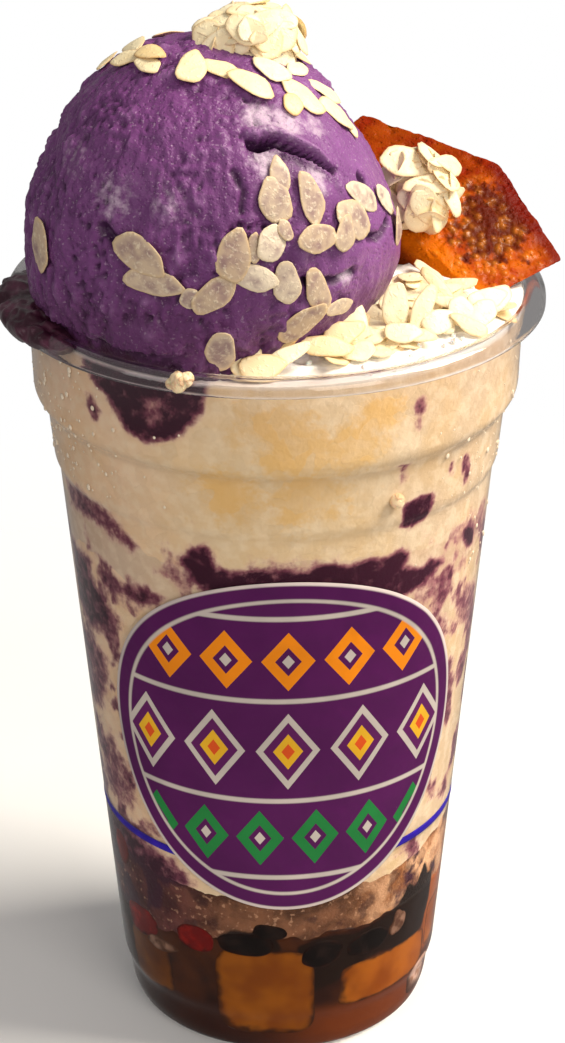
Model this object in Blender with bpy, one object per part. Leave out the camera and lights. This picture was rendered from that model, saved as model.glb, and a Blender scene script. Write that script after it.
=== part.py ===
"""Halo-halo in its clear takeaway cup, for Blender 4.5.

Crushed ice and milk stand over jelly and beans in syrup. A scoop of ube ice cream, a block of leche
flan, a smear of ube jam and toasted rice flakes lie on top. Metres, +Z up, origin on the cup's axis at
the plane the foot stands on. Angles round the cup are turned from the front (-Y) towards +X.
"""

import math

import bmesh
import bpy
from mathutils import Vector, noise

MM = 0.001
GAP = 0.3 * MM  # clearance between two pieces that touch
CUT_GAP = 0.45 * MM  # the same where an uneven piece is pressed into another
TURN_STEPS = 36  # facets round the cup and its contents
MERGE = 0.001 * MM  # points closer than this are one point
SAME_LEVEL = 0.01 * MM
MITRE_LIMIT = 0.5  # smallest cosine that a mitred corner divides by

# Cup: one thin clear sheet with two stacking steps under the mouth and a rolled lip
CUP_HEIGHT = 150 * MM
LIP_RADIUS = 49 * MM
LIP_SKIRT = 146.9 * MM  # lower edge of the rolled lip
SHEET = 0.55 * MM
FOOT_OUTER_RADIUS = 27 * MM
RECESS_HEIGHT = 2.9 * MM
BASE_LINE = (  # radius and height, from the middle of the recess in the base round the foot to the heel
    (0.0, RECESS_HEIGHT), (23.4 * MM, RECESS_HEIGHT), (24.2 * MM, 2.5 * MM), (25.2 * MM, 0.5 * MM),
    (25.8 * MM, 0.0), (FOOT_OUTER_RADIUS, 0.0), (28.7 * MM, 1.1 * MM), (29.6 * MM, 3.6 * MM),
)
LOW_STEP = ((30.2 * MM, 8.2 * MM), (31.1 * MM, 10.6 * MM))  # radius and height, below and above
MIDDLE_STEP = ((40.4 * MM, 116.2 * MM), (41.2 * MM, 117.6 * MM))
UPPER_STEP = ((42.3 * MM, 128.6 * MM), (44.5 * MM, 130.8 * MM))
MOUTH_RADIUS = 45 * MM  # outside of the wall, just under the lip
MOUTH_HEIGHT = 146.6 * MM
LIP_ARC_STEPS = 4

# Round label on the front of the wall
LABEL_RADIUS = 36 * MM
LABEL_HEIGHT = 72 * MM
LABEL_TURN = math.radians(3)
LABEL_THICKNESS = 0.25 * MM
LABEL_COLUMNS = 22

# Surfaces between the layers: level, slope to the right, slope to the back, swell, waves round, phase
SYRUP_TOP = (28 * MM, 0.10, 0.0, 1.3 * MM, 3, 0.4)
SOAKED_TOP = (43 * MM, 0.04, 0.13, 1.4 * MM, 4, 1.2)
ICE_LOWER_TOP = (102 * MM, -0.02, 0.0, 1.6 * MM, 5, 2.1)
UBE_TOP = (110.5 * MM, -0.03, 0.0, 1.5 * MM, 4, 0.3)
WAVE_REACH = 40 * MM
WAVE_ROOM = 3 * MM  # a layer's side has no ring this close to its nominal top or bottom
AT_WALL = 0.9  # share of the wall's radius from which a point belongs to the layer's side
MOUND_RIM = 147.3 * MM  # level of the ice all round the wall
MOUND_RISE = 5.5 * MM
MOUND_CENTRE = (18 * MM, -6 * MM)
MOUND_SPREAD = 15 * MM
MOUND_RIPPLE = (0.3 * MM, 4 * MM, 5 * MM)  # height, length across, length front to back
RING_SHARES = (0.4, 0.75)  # rings of facets across a layer's top and bottom

# Ube ice cream: one scoop whose foot is pressed against the wall
SCOOP_CENTRE = Vector((-11.4 * MM, -11 * MM, 166.3 * MM))
SCOOP_RADIUS = 32.3 * MM
SCOOP_HALF_HEIGHT = 31.8 * MM
SCOOP_SEGMENTS = (34, 20)
SCOOP_GRAIN = 0.45 * MM
SCOOP_GRAIN_SIZE = 7 * MM
SCOOP_GRAIN_LAYERS = (0.8, 2.0, 3)  # noise: fall-off, step in size, layers
SCOOP_LOBES = (  # angle round, angle up, spread (degrees), height
    (-88, 8, 12, 0.7 * MM),  # bulge of the left cheek
    (-74, -26, 18, 2.6 * MM),  # full lower left side
    (92, 32, 26, -3.2 * MM),  # flatter right shoulder
    (86, -14, 24, 1.6 * MM),  # fuller right cheek
    (-86, 28, 22, -2.0 * MM),  # flatter left shoulder
    (-30, 3, 12, -1.4 * MM),  # hollow in the front
    (24, 40, 8, -2.0 * MM),  # crack under the crown
    (38, 33, 8, -2.2 * MM),
    (-22, -46, 20, 11 * MM),  # foot that fills the corner at the wall
)
SCOOP_WALL_TOP = 152 * MM  # below this height the wall holds the scoop in

# Leche flan: a skewed block from its lowest front corner
FLAN_CORNER = Vector((37.5 * MM, -8.7 * MM, 148.3 * MM))
FLAN_WIDE = Vector((15.3 * MM, 12.7 * MM, 3.3 * MM))
FLAN_TALL = Vector((-12 * MM, 10.7 * MM, 8.9 * MM))
FLAN_DEEP = Vector((-25.2 * MM, 13.5 * MM, 5.6 * MM))
FLAN_FLARE = Vector((0.9 * MM, 5 * MM, 4.6 * MM))  # extra at the far top corner
FLAN_SAG = Vector((1.5 * MM, 2 * MM, -6.8 * MM))  # how far the back of the base drops to the ice
FLAN_CUTS = 3
FLAN_BEVEL = 0.6 * MM
FLAN_LONG_EDGE = 4 * FLAN_BEVEL  # edges longer than this are divided
FLAN_GRAIN = 0.35 * MM
FLAN_GRAIN_SIZE = 4 * MM

# Jam smeared over the lip, and the flakes: angles in degrees, then radius, half width, height, half height
JAM_ARC = (-98, -50)
JAM_RING = (45.9 * MM, 5.2 * MM, 148.3 * MM, 3.2 * MM)
JAM_BOW = 0.4 * MM
JAM_SEGMENTS = (12, 12)
JAM_GRAIN = 0.8 * MM
HEAP_ARC = (-16, 110)
HEAP_RING = (31.0 * MM, 10.0 * MM, 150.6 * MM, 4.6 * MM)
HEAP_BOW = 7.0 * MM
HEAP_SEGMENTS = (12, 18)
TOP_CLUMP = (Vector((-4 * MM, -9.5 * MM, 198.3 * MM)), Vector((9.6 * MM, 9 * MM, 6.2 * MM)))
FLAN_CLUMP = (Vector((25.5 * MM, 3.5 * MM, 166.2 * MM)), Vector((7.5 * MM, 6 * MM, 7.5 * MM)))
CLUMP_GRAIN = 1.3 * MM
CLUMP_GRAIN_SIZE = 5 * MM
CLUMP_SEGMENTS = (14, 8)
SIDEWAYS_GRAIN = 0.5  # share of a bent lump's roughness that also moves it outwards

# Ring that cuts the lip out of what is smeared or heaped over it
LIP_CUTTER_BASE = 138 * MM
LIP_CUTTER_CORNER = 1.2 * MM

MATERIALS = {  # colour, roughness, metallic
    "clear_plastic": ((0.90, 0.92, 0.93), 0.08, 0.0),
    "label_film": ((0.08, 0.008, 0.07), 0.30, 0.0),
    "syrup": ((0.11, 0.035, 0.010), 0.20, 0.0),
    "soaked_ice": ((0.22, 0.09, 0.05), 0.45, 0.0),
    "milk_ice": ((0.70, 0.50, 0.30), 0.55, 0.0),
    "ube_cream": ((0.09, 0.03, 0.04), 0.50, 0.0),
    "ube_ice_cream": ((0.22, 0.07, 0.20), 0.45, 0.0),
    "custard": ((0.65, 0.17, 0.02), 0.25, 0.0),
    "ube_jam": ((0.05, 0.012, 0.03), 0.30, 0.0),
    "rice_flake": ((0.85, 0.68, 0.40), 0.60, 0.0),
}


def clear_scene():
    for item in list(bpy.data.objects):
        bpy.data.objects.remove(item, do_unlink=True)


def material(name):
    found = bpy.data.materials.get(name)
    if found:
        return found
    colour, roughness, metallic = MATERIALS[name]
    made = bpy.data.materials.new(name)
    made.use_nodes = True
    shader = made.node_tree.nodes["Principled BSDF"]
    shader.inputs["Base Color"].default_value = (*colour, 1.0)
    shader.inputs["Roughness"].default_value = roughness
    shader.inputs["Metallic"].default_value = metallic
    made.diffuse_color = (*colour, 1.0)
    return made


def finish(bm, name, material_name, sharp_angle=40):
    """Turn a closed bmesh into a smooth-shaded object in the scene."""
    bmesh.ops.remove_doubles(bm, verts=bm.verts, dist=MERGE)
    bmesh.ops.recalc_face_normals(bm, faces=bm.faces)
    mesh = bpy.data.meshes.new(name)
    bm.to_mesh(mesh)
    bm.free()
    mesh.shade_smooth()
    mesh.set_sharp_from_angle(angle=math.radians(sharp_angle))
    mesh.materials.append(material(material_name))
    item = bpy.data.objects.new(name, mesh)
    bpy.context.collection.objects.link(item)
    return item


def grown(source, distance=CUT_GAP):
    """A hidden copy of a piece, swollen along its normals, for cutting its neighbours back."""
    bm = bmesh.new()
    bm.from_mesh(source.data)
    bm.normal_update()
    for vert in bm.verts:
        vert.co += vert.normal * distance
    mesh = bpy.data.meshes.new("cutter_" + source.name)
    bm.to_mesh(mesh)
    bm.free()
    return hide_cutter(bpy.data.objects.new(mesh.name, mesh))


def hide_cutter(cutter):
    if cutter.name not in bpy.context.collection.objects:
        bpy.context.collection.objects.link(cutter)
    cutter.hide_render = True
    cutter.display_type = "WIRE"
    return cutter


def carve(piece, *cutters):
    for cutter in cutters:
        cut = piece.modifiers.new("cut_" + cutter.name, "BOOLEAN")
        cut.operation = "DIFFERENCE"
        cut.solver = "EXACT"
        cut.object = cutter


def direction(turn, rise=0.0):
    """Unit vector at an angle round from the front and an angle up, both in radians."""
    flat = math.cos(rise)
    return Vector((math.sin(turn) * flat, -math.cos(turn) * flat, math.sin(rise)))


def turned(section):
    """Spin a (radius, height) section, from axis to axis or closed by its last point, round +Z."""
    bm = bmesh.new()
    verts = [bm.verts.new((0.0, -radius, height)) for radius, height in section]
    edges = [bm.edges.new(pair) for pair in zip(verts, verts[1:])]
    bmesh.ops.spin(bm, geom=verts + edges, cent=(0, 0, 0), axis=(0, 0, 1), angle=2 * math.pi,
                   steps=TURN_STEPS, use_merge=True)
    bmesh.ops.remove_doubles(bm, verts=bm.verts, dist=MERGE)
    return bm


def offset_line(line, distance):
    """Shift a (radius, height) line sideways, to the left of its travel, with mitred corners."""
    points = [Vector(point) for point in line]
    runs = [(after - before).normalized() for before, after in zip(points, points[1:])]
    shifted = []
    for place, point in enumerate(points):
        before = runs[max(place - 1, 0)]
        after = runs[min(place, len(runs) - 1)]
        mean = (before + after).normalized()
        side = Vector((-mean.y, mean.x))
        reach = distance / max(mean.dot(after), MITRE_LIMIT)
        moved = point + side * reach
        shifted.append((0.0 if point.x == 0 else moved.x, moved.y))
    return shifted


def cup_outside():
    """The outer face of the sheet, from the middle of the base to the lip's lower edge."""
    line = [*BASE_LINE, *LOW_STEP, *MIDDLE_STEP, *UPPER_STEP, (MOUTH_RADIUS, MOUTH_HEIGHT)]
    half_width = (LIP_RADIUS - SHEET - MOUTH_RADIUS) / 2
    centre = (MOUTH_RADIUS + half_width, CUP_HEIGHT - SHEET - half_width)
    for step in range(LIP_ARC_STEPS + 1):
        angle = math.pi * (1 - step / LIP_ARC_STEPS)
        line.append((centre[0] + half_width * math.cos(angle), centre[1] + half_width * math.sin(angle)))
    line.append((LIP_RADIUS - SHEET, LIP_SKIRT))
    return line


def radius_at(line, height):
    """Radius of a wall line at a height between its heel and the start of the lip."""
    height = min(height, MOUTH_HEIGHT)
    for (low_radius, low), (high_radius, high) in zip(line, line[1:]):
        if low <= height <= high and low_radius > FOOT_OUTER_RADIUS:
            share = (height - low) / (high - low)
            return low_radius + share * (high_radius - low_radius)
    return MOUTH_RADIUS - SHEET - GAP


def make_cup():
    outside = cup_outside()
    inside = offset_line(outside, SHEET)
    bm = turned(outside + inside[::-1])
    return finish(bm, "cup", "clear_plastic")


def make_label():
    outside = cup_outside()
    centre_radius = radius_at(outside, LABEL_HEIGHT)
    bm = bmesh.new()
    faces = {}
    for skin, proud in (("back", GAP), ("front", GAP + LABEL_THICKNESS)):
        for column in range(1, LABEL_COLUMNS):
            angle = math.pi * column / LABEL_COLUMNS
            turn = LABEL_TURN - LABEL_RADIUS * math.cos(angle) / centre_radius
            for end in (-1, 1):
                height = LABEL_HEIGHT + end * LABEL_RADIUS * math.sin(angle)
                point = direction(turn) * (radius_at(outside, height) + proud)
                point.z = height
                faces[skin, column, end] = bm.verts.new(point)
    for column in range(1, LABEL_COLUMNS - 1):
        for skin in ("back", "front"):
            bm.faces.new([faces[skin, column, -1], faces[skin, column + 1, -1],
                          faces[skin, column + 1, 1], faces[skin, column, 1]])
        for end in (-1, 1):
            bm.faces.new([faces["back", column, end], faces["back", column + 1, end],
                          faces["front", column + 1, end], faces["front", column, end]])
    for column in (1, LABEL_COLUMNS - 1):
        bm.faces.new([faces["back", column, -1], faces["front", column, -1],
                      faces["front", column, 1], faces["back", column, 1]])
    return finish(bm, "label", "label_film")


def wave(surface):
    """Height function of the uneven surface between two layers: a slope and two ripples round the middle."""
    level, slope_right, slope_back, swell, waves, phase = surface

    def height(x, y):
        reach = math.hypot(x, y) / WAVE_REACH
        angle = math.atan2(y, x)
        ripple = math.sin(waves * angle + phase) + 0.5 * math.sin((waves + 3) * angle - phase)
        return level + slope_right * x + slope_back * y + swell * reach * ripple

    return height


def mound(x, y):
    """Top of the ice: level at the wall, heaped up in front of the flan."""
    away = (x - MOUND_CENTRE[0]) ** 2 + (y - MOUND_CENTRE[1]) ** 2
    heap = MOUND_RISE * math.exp(-away / (2 * MOUND_SPREAD**2))
    ripple, across, back = MOUND_RIPPLE
    return MOUND_RIM + heap + ripple * math.sin(x / across) * math.cos(y / back)


def lifted(surface, distance=GAP):
    return lambda x, y: surface(x, y) + distance


def make_layer(name, material_name, low, high, bottom, top):
    """A layer that fills the cup between two uneven surfaces; low and high are their nominal heights.

    A bottom of None lets the layer lie on the cup's own base, with low below it.
    """
    line = offset_line(cup_outside(), SHEET + GAP)
    section = []
    if bottom:
        section.append((0.0, low))
        section += [(share * radius_at(line, low), low) for share in RING_SHARES]
        section.append((radius_at(line, low), low))
    section += [point for point in line if low + WAVE_ROOM < point[1] < high - WAVE_ROOM]
    section.append((radius_at(line, high), high))
    section += [(share * radius_at(line, high), high) for share in reversed(RING_SHARES)]
    section.append((0.0, high))
    bm = turned(section)
    for vert in bm.verts:
        surfaces = [top] if abs(vert.co.z - high) < SAME_LEVEL else []
        if bottom and abs(vert.co.z - low) < SAME_LEVEL:
            surfaces = [bottom]
        for surface in surfaces:
            at_wall = math.hypot(vert.co.x, vert.co.y) > AT_WALL * radius_at(line, vert.co.z)
            vert.co.z = surface(vert.co.x, vert.co.y)
            if at_wall:
                flat = Vector((vert.co.x, vert.co.y, 0)).normalized() * radius_at(line, vert.co.z)
                vert.co.x, vert.co.y = flat.x, flat.y
    return finish(bm, name, material_name)


def make_layers():
    syrup, soaked, lower, ube = (wave(s) for s in (SYRUP_TOP, SOAKED_TOP, ICE_LOWER_TOP, UBE_TOP))
    make_layer("syrup_base", "syrup", -WAVE_ROOM, SYRUP_TOP[0], None, syrup)
    make_layer("soaked_ice", "soaked_ice", SYRUP_TOP[0], SOAKED_TOP[0], lifted(syrup), soaked)
    make_layer("ice_lower", "milk_ice", SOAKED_TOP[0], ICE_LOWER_TOP[0], lifted(soaked), lower)
    make_layer("ube_layer", "ube_cream", ICE_LOWER_TOP[0], UBE_TOP[0], lifted(lower), ube)
    return make_layer("ice_upper", "milk_ice", UBE_TOP[0], MOUND_RIM, lifted(ube), mound)


def make_scoop():
    wall = offset_line(cup_outside(), SHEET + GAP)
    lobes = [(direction(math.radians(turn), math.radians(rise)), math.radians(spread), height)
             for turn, rise, spread, height in SCOOP_LOBES]
    bm = bmesh.new()
    bmesh.ops.create_uvsphere(bm, u_segments=SCOOP_SEGMENTS[0], v_segments=SCOOP_SEGMENTS[1], radius=1)
    for vert in bm.verts:
        way = vert.co.normalized()
        size = Vector((SCOOP_RADIUS, SCOOP_RADIUS, SCOOP_HALF_HEIGHT))
        swell = sum(height * math.exp(-(way.angle(lobe) / spread) ** 2) for lobe, spread, height in lobes)
        swell += SCOOP_GRAIN * noise.fractal(way * SCOOP_RADIUS / SCOOP_GRAIN_SIZE, *SCOOP_GRAIN_LAYERS)
        vert.co = SCOOP_CENTRE + way * size + way * swell
        reach = math.hypot(vert.co.x, vert.co.y)
        limit = radius_at(wall, vert.co.z)
        if vert.co.z < SCOOP_WALL_TOP and reach > limit:
            vert.co.x *= limit / reach
            vert.co.y *= limit / reach
    return finish(bm, "ube_scoop", "ube_ice_cream")


def make_flan():
    bm = bmesh.new()
    bmesh.ops.create_cube(bm, size=1)
    for vert in bm.verts:
        across, deep, up = (part + 0.5 for part in vert.co)
        vert.co = (FLAN_CORNER + across * FLAN_WIDE + up * FLAN_TALL + deep * FLAN_DEEP
                   + across * up * FLAN_FLARE + deep * (1 - up) * FLAN_SAG)
    bmesh.ops.bevel(bm, geom=bm.edges[:], offset=FLAN_BEVEL, segments=2, profile=0.6,
                    affect="EDGES", clamp_overlap=True)
    long_edges = [edge for edge in bm.edges if edge.calc_length() > FLAN_LONG_EDGE]
    bmesh.ops.subdivide_edges(bm, edges=long_edges, cuts=FLAN_CUTS, use_grid_fill=True)
    bm.normal_update()
    for vert in bm.verts:
        vert.co += vert.normal * FLAN_GRAIN * noise.noise(vert.co / FLAN_GRAIN_SIZE)
    return finish(bm, "leche_flan", "custard")


def bent_lump(name, material_name, arc, ring, bow, segments, grain):
    """A lump bent round the cup's axis along an arc; bow moves its ends outwards."""
    radius, half_width, height, half_height = ring
    start, end = (math.radians(angle) for angle in arc)
    bm = bmesh.new()
    bmesh.ops.create_uvsphere(bm, u_segments=segments[0], v_segments=segments[1], radius=1)
    for vert in bm.verts:
        along, out, up = vert.co.z, vert.co.y, vert.co.x
        turn = (start + end) / 2 + along * (end - start) / 2
        point = direction(turn) * (radius + bow * along**2 + out * half_width)
        point.z = height + up * half_height
        rough = grain * noise.noise(point / CLUMP_GRAIN_SIZE)
        vert.co = point + Vector((0, 0, rough)) + direction(turn) * rough * SIDEWAYS_GRAIN
    return finish(bm, name, material_name)


def clump(name, centre, half_size):
    bm = bmesh.new()
    bmesh.ops.create_uvsphere(bm, u_segments=CLUMP_SEGMENTS[0], v_segments=CLUMP_SEGMENTS[1], radius=1)
    for vert in bm.verts:
        way = vert.co.copy()
        rough = CLUMP_GRAIN * noise.noise((centre + way * half_size) / CLUMP_GRAIN_SIZE)
        vert.co = centre + way * half_size + way * rough
    return finish(bm, name, "rice_flake")


def make_lip_cutter():
    """A ring a gap larger than the lip and the wall under it, for what is smeared over them."""
    inner = MOUTH_RADIUS - SHEET - GAP
    outer = LIP_RADIUS + GAP
    top = CUP_HEIGHT + GAP
    corner = LIP_CUTTER_CORNER
    section = [(inner, LIP_CUTTER_BASE), (outer, LIP_CUTTER_BASE), (outer, top - corner), (outer - corner, top),
               (inner + corner, top), (inner, top - corner), (inner, LIP_CUTTER_BASE)]
    bm = turned(section)
    bmesh.ops.recalc_face_normals(bm, faces=bm.faces)
    mesh = bpy.data.meshes.new("cutter_lip")
    bm.to_mesh(mesh)
    bm.free()
    return hide_cutter(bpy.data.objects.new(mesh.name, mesh))


def build():
    clear_scene()
    make_cup()
    make_label()
    ice = make_layers()
    scoop = make_scoop()
    flan = make_flan()
    jam = bent_lump("halaya_rim", "ube_jam", JAM_ARC, JAM_RING, JAM_BOW, JAM_SEGMENTS, JAM_GRAIN)
    heap = bent_lump("flake_heap_side", "rice_flake", HEAP_ARC, HEAP_RING, HEAP_BOW, HEAP_SEGMENTS, CLUMP_GRAIN)
    top_clump = clump("flake_clump_top", *TOP_CLUMP)
    flan_clump = clump("flake_clump_flan", *FLAN_CLUMP)

    scoop_cutter = grown(scoop)
    flan_cutter = grown(flan)
    jam_cutter = grown(jam)
    heap_cutter = grown(heap)
    lip_cutter = make_lip_cutter()
    carve(ice, heap_cutter, scoop_cutter, flan_cutter, jam_cutter)
    carve(jam, lip_cutter, scoop_cutter)
    carve(flan, scoop_cutter)
    carve(heap, scoop_cutter, flan_cutter, lip_cutter)
    carve(top_clump, scoop_cutter)
    carve(flan_clump, scoop_cutter, flan_cutter)


build()
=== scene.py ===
# Halo-halo in its clear cup: the looks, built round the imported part.
# Settings are in millimetres and degrees. Turns go round the cup from the front (-Y) towards +X.

import math
import random

import bmesh
import bpy
import numpy as np
from mathutils import Matrix, Vector, noise
from mathutils.bvhtree import BVHTree


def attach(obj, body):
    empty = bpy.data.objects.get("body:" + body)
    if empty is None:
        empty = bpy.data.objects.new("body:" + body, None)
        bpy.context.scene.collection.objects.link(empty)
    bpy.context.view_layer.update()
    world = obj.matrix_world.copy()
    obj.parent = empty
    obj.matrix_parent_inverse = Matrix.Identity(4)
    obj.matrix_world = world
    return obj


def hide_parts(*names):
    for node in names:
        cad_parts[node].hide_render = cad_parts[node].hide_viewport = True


mm = 0.001
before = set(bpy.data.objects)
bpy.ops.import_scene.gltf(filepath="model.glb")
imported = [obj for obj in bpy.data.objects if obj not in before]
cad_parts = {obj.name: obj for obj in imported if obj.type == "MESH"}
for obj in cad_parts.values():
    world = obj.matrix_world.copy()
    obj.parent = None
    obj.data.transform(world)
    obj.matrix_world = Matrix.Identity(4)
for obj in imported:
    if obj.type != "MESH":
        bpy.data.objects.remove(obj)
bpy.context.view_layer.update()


# small helpers for meshes

def newObject(name, mesh, material):
    item = bpy.data.objects.new(name, mesh)
    bpy.context.scene.collection.objects.link(item)
    mesh.materials.clear()
    mesh.materials.append(material)
    mesh.shade_smooth()
    return item


def fromLists(name, points, faces, **fields):
    # points in millimetres; seams and poles are welded and the faces turned outwards
    mesh = bpy.data.meshes.new(name)
    mesh.from_pydata([tuple(p) for p in np.asarray(points, float) * mm], [], faces)
    for field, values in fields.items():
        paint(mesh, field, values)
    bm = bmesh.new()
    bm.from_mesh(mesh)
    bmesh.ops.remove_doubles(bm, verts=bm.verts, dist=0.002 * mm)
    bmesh.ops.recalc_face_normals(bm, faces=bm.faces)
    bm.to_mesh(mesh)
    bm.free()
    return mesh


def crease(mesh, degrees=50):
    mesh.set_sharp_from_angle(angle=math.radians(degrees))


def ringFaces(count, steps, closed=False):
    # quads between rings of points; closed joins the last ring to the first
    faces = []
    for row in range(count if closed else count - 1):
        here, there = row * steps, (row + 1) % count * steps
        for step in range(steps):
            after = (step + 1) % steps
            faces.append((here + step, here + after, there + after, there + step))
    return faces


def coordinates(mesh):
    flat = np.zeros(len(mesh.vertices) * 3)
    mesh.vertices.foreach_get("co", flat)
    return flat.reshape(-1, 3) / mm


def setCoordinates(mesh, points):
    mesh.vertices.foreach_set("co", (np.asarray(points) * mm).ravel())
    mesh.update()


def normals(mesh):
    flat = np.zeros(len(mesh.vertices) * 3)
    mesh.vertex_normals.foreach_get("vector", flat)
    return flat.reshape(-1, 3)


def paint(mesh, name, values):
    # a value for each point, read by the material's Attribute node
    layer = mesh.attributes.new(name, "FLOAT", "POINT")
    layer.data.foreach_set("value", np.asarray(values, np.float32))


def painted(mesh, name):
    values = np.zeros(len(mesh.vertices))
    mesh.attributes[name].data.foreach_get("value", values)
    return values


def roughness(points, size, octaves=2, shift=0.0):
    # soft noise from about -1 to 1, with lumps of that size
    offset = Vector((shift, shift * 1.7, -shift))
    return np.array([noise.fractal(Vector(p) / size + offset, 0.9, 2.0, octaves) for p in points])


def pits(points, size, spread=0.3, shift=0.0):
    # 1 at the middle of each scattered pit, 0 between them
    offset = Vector((shift, -shift, shift * 0.6))
    away = np.array([noise.voronoi(Vector(p) / size + offset)[0][0] for p in points])
    return np.exp(-((away / spread) ** 2))


def smooth(low, high, value):
    share = np.clip((value - low) / (high - low), 0, 1)
    return share * share * (3 - 2 * share)


def aim(turn, rise=0.0):
    flat = math.cos(math.radians(rise))
    turn = math.radians(turn)
    return Vector((math.sin(turn) * flat, -math.cos(turn) * flat, math.sin(math.radians(rise))))


def strokeDistance(u, v, points):
    # distance of each (u, v) to a line through the points
    best = np.full(len(u), 1e9)
    if len(points) == 1:
        points = points * 2
    for (u0, v0), (u1, v1) in zip(points, points[1:]):
        du, dv = u1 - u0, v1 - v0
        along = np.clip(((u - u0) * du + (v - v0) * dv) / max(du * du + dv * dv, 1e-9), 0, 1)
        best = np.minimum(best, np.hypot(u - u0 - along * du, v - v0 - along * dv))
    return best


def outlineField(u, v, outline, soft):
    # 1 well inside a closed outline, 0.5 on it and 0 well outside
    closed = outline + outline[:1]
    inside = np.zeros(len(u), bool)
    for (u0, v0), (u1, v1) in zip(closed, closed[1:]):
        crosses = (v0 > v) != (v1 > v)
        inside ^= crosses & (u < u0 + (v - v0) * (u1 - u0) / ((v1 - v0) or 1e-9))
    away = strokeDistance(u, v, closed)
    return np.clip(0.5 + np.where(inside, away, -away) / (2 * soft), 0, 1)


def dress(item, slot, *nodes):
    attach(item, "root")
    if nodes:
        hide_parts(*nodes)
    return item


# small helpers for materials

def tone(red, green, blue):
    # a colour as a screen shows it, 0 to 255, to Blender's linear values
    return tuple(((c / 255 + 0.055) / 1.055) ** 2.4 if c > 10 else c / 3295 for c in (red, green, blue)) + (1.0,)


def put(tree, kind, inputs=None, **settings):
    node = tree.nodes.new(kind)
    for key, value in settings.items():
        setattr(node, key, value)
    for socket, value in (inputs or {}).items():
        if isinstance(value, bpy.types.NodeSocket):
            tree.links.new(value, node.inputs[socket])
        else:
            node.inputs[socket].default_value = value
    return node


def mixColours(tree, factor, first, second, mode="MIX"):
    node = put(tree, "ShaderNodeMix", {0: factor, 6: first, 7: second}, data_type="RGBA", blend_type=mode)
    return node.outputs[2]


def sums(tree, operation, first, second=0.0, third=0.0):
    return put(tree, "ShaderNodeMath", {0: first, 1: second, 2: third}, operation=operation).outputs[0]


def ramp(tree, value, low, high):
    node = put(tree, "ShaderNodeMapRange", {"Value": value, "From Min": low, "From Max": high},
               interpolation_type="SMOOTHSTEP")
    return node.outputs["Result"]


def attribute(tree, name):
    return put(tree, "ShaderNodeAttribute", attribute_name=name).outputs["Fac"]


def newMaterial(name, **plain):
    material = bpy.data.materials.new(name)
    material.use_nodes = True
    shader = material.node_tree.nodes["Principled BSDF"]
    for socket, value in plain.items():
        shader.inputs[socket.replace("_", " ")].default_value = value
    return material, material.node_tree, shader


def bumped(tree, shader, height, distance):
    bump = put(tree, "ShaderNodeBump", {"Height": height, "Distance": distance * mm})
    tree.links.new(bump.outputs[0], shader.inputs["Normal"])


def groupShell(name, inputs, outputs):
    group = bpy.data.node_groups.new(name, "ShaderNodeTree")
    for label, value in inputs:
        group.interface.new_socket(label, in_out="INPUT", socket_type="NodeSocketFloat").default_value = value
    for label in outputs:
        group.interface.new_socket(label, in_out="OUTPUT", socket_type="NodeSocketFloat")
    return group, group.nodes.new("NodeGroupInput").outputs, group.nodes.new("NodeGroupOutput").inputs


def patchGroup():
    # soft irregular patches of one size
    group, given, out = groupShell(
        "softPatches", [("Size", 5.0), ("Detail", 3.0), ("Low", 0.45), ("High", 0.6)], ["Mask"])
    place = put(group, "ShaderNodeTexCoord").outputs["Object"]
    scale = sums(group, "DIVIDE", 1 / mm, given["Size"])
    cloud = put(group, "ShaderNodeTexNoise", {"Vector": place, "Scale": scale, "Detail": given["Detail"]})
    group.links.new(ramp(group, cloud.outputs[0], given["Low"], given["High"]), out["Mask"])
    return group


def stainGroup():
    # a painted field turned into a stain with a ragged edge and a pale halo round it
    group, given, out = groupShell(
        "wallStain", [("Field", 0.0), ("Size", 2.5), ("Ragged", 0.9), ("Soft", 0.12)],
        ["Core", "Halo", "Deep"])
    place = put(group, "ShaderNodeTexCoord").outputs["Object"]
    scale = sums(group, "DIVIDE", 1 / mm, given["Size"])
    cloud = put(group, "ShaderNodeTexNoise", {"Vector": place, "Scale": scale, "Detail": 5.0, "Roughness": 0.62})
    ragged = sums(group, "MULTIPLY", sums(group, "SUBTRACT", cloud.outputs[0], 0.5), given["Ragged"])
    field = sums(group, "ADD", given["Field"], ragged)
    low = sums(group, "SUBTRACT", 0.5, given["Soft"])
    high = sums(group, "ADD", 0.5, given["Soft"])
    group.links.new(ramp(group, field, low, high), out["Core"])
    group.links.new(ramp(group, field, 0.12, 0.6), out["Halo"])
    group.links.new(ramp(group, field, 0.66, 0.98), out["Deep"])
    return group


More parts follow.
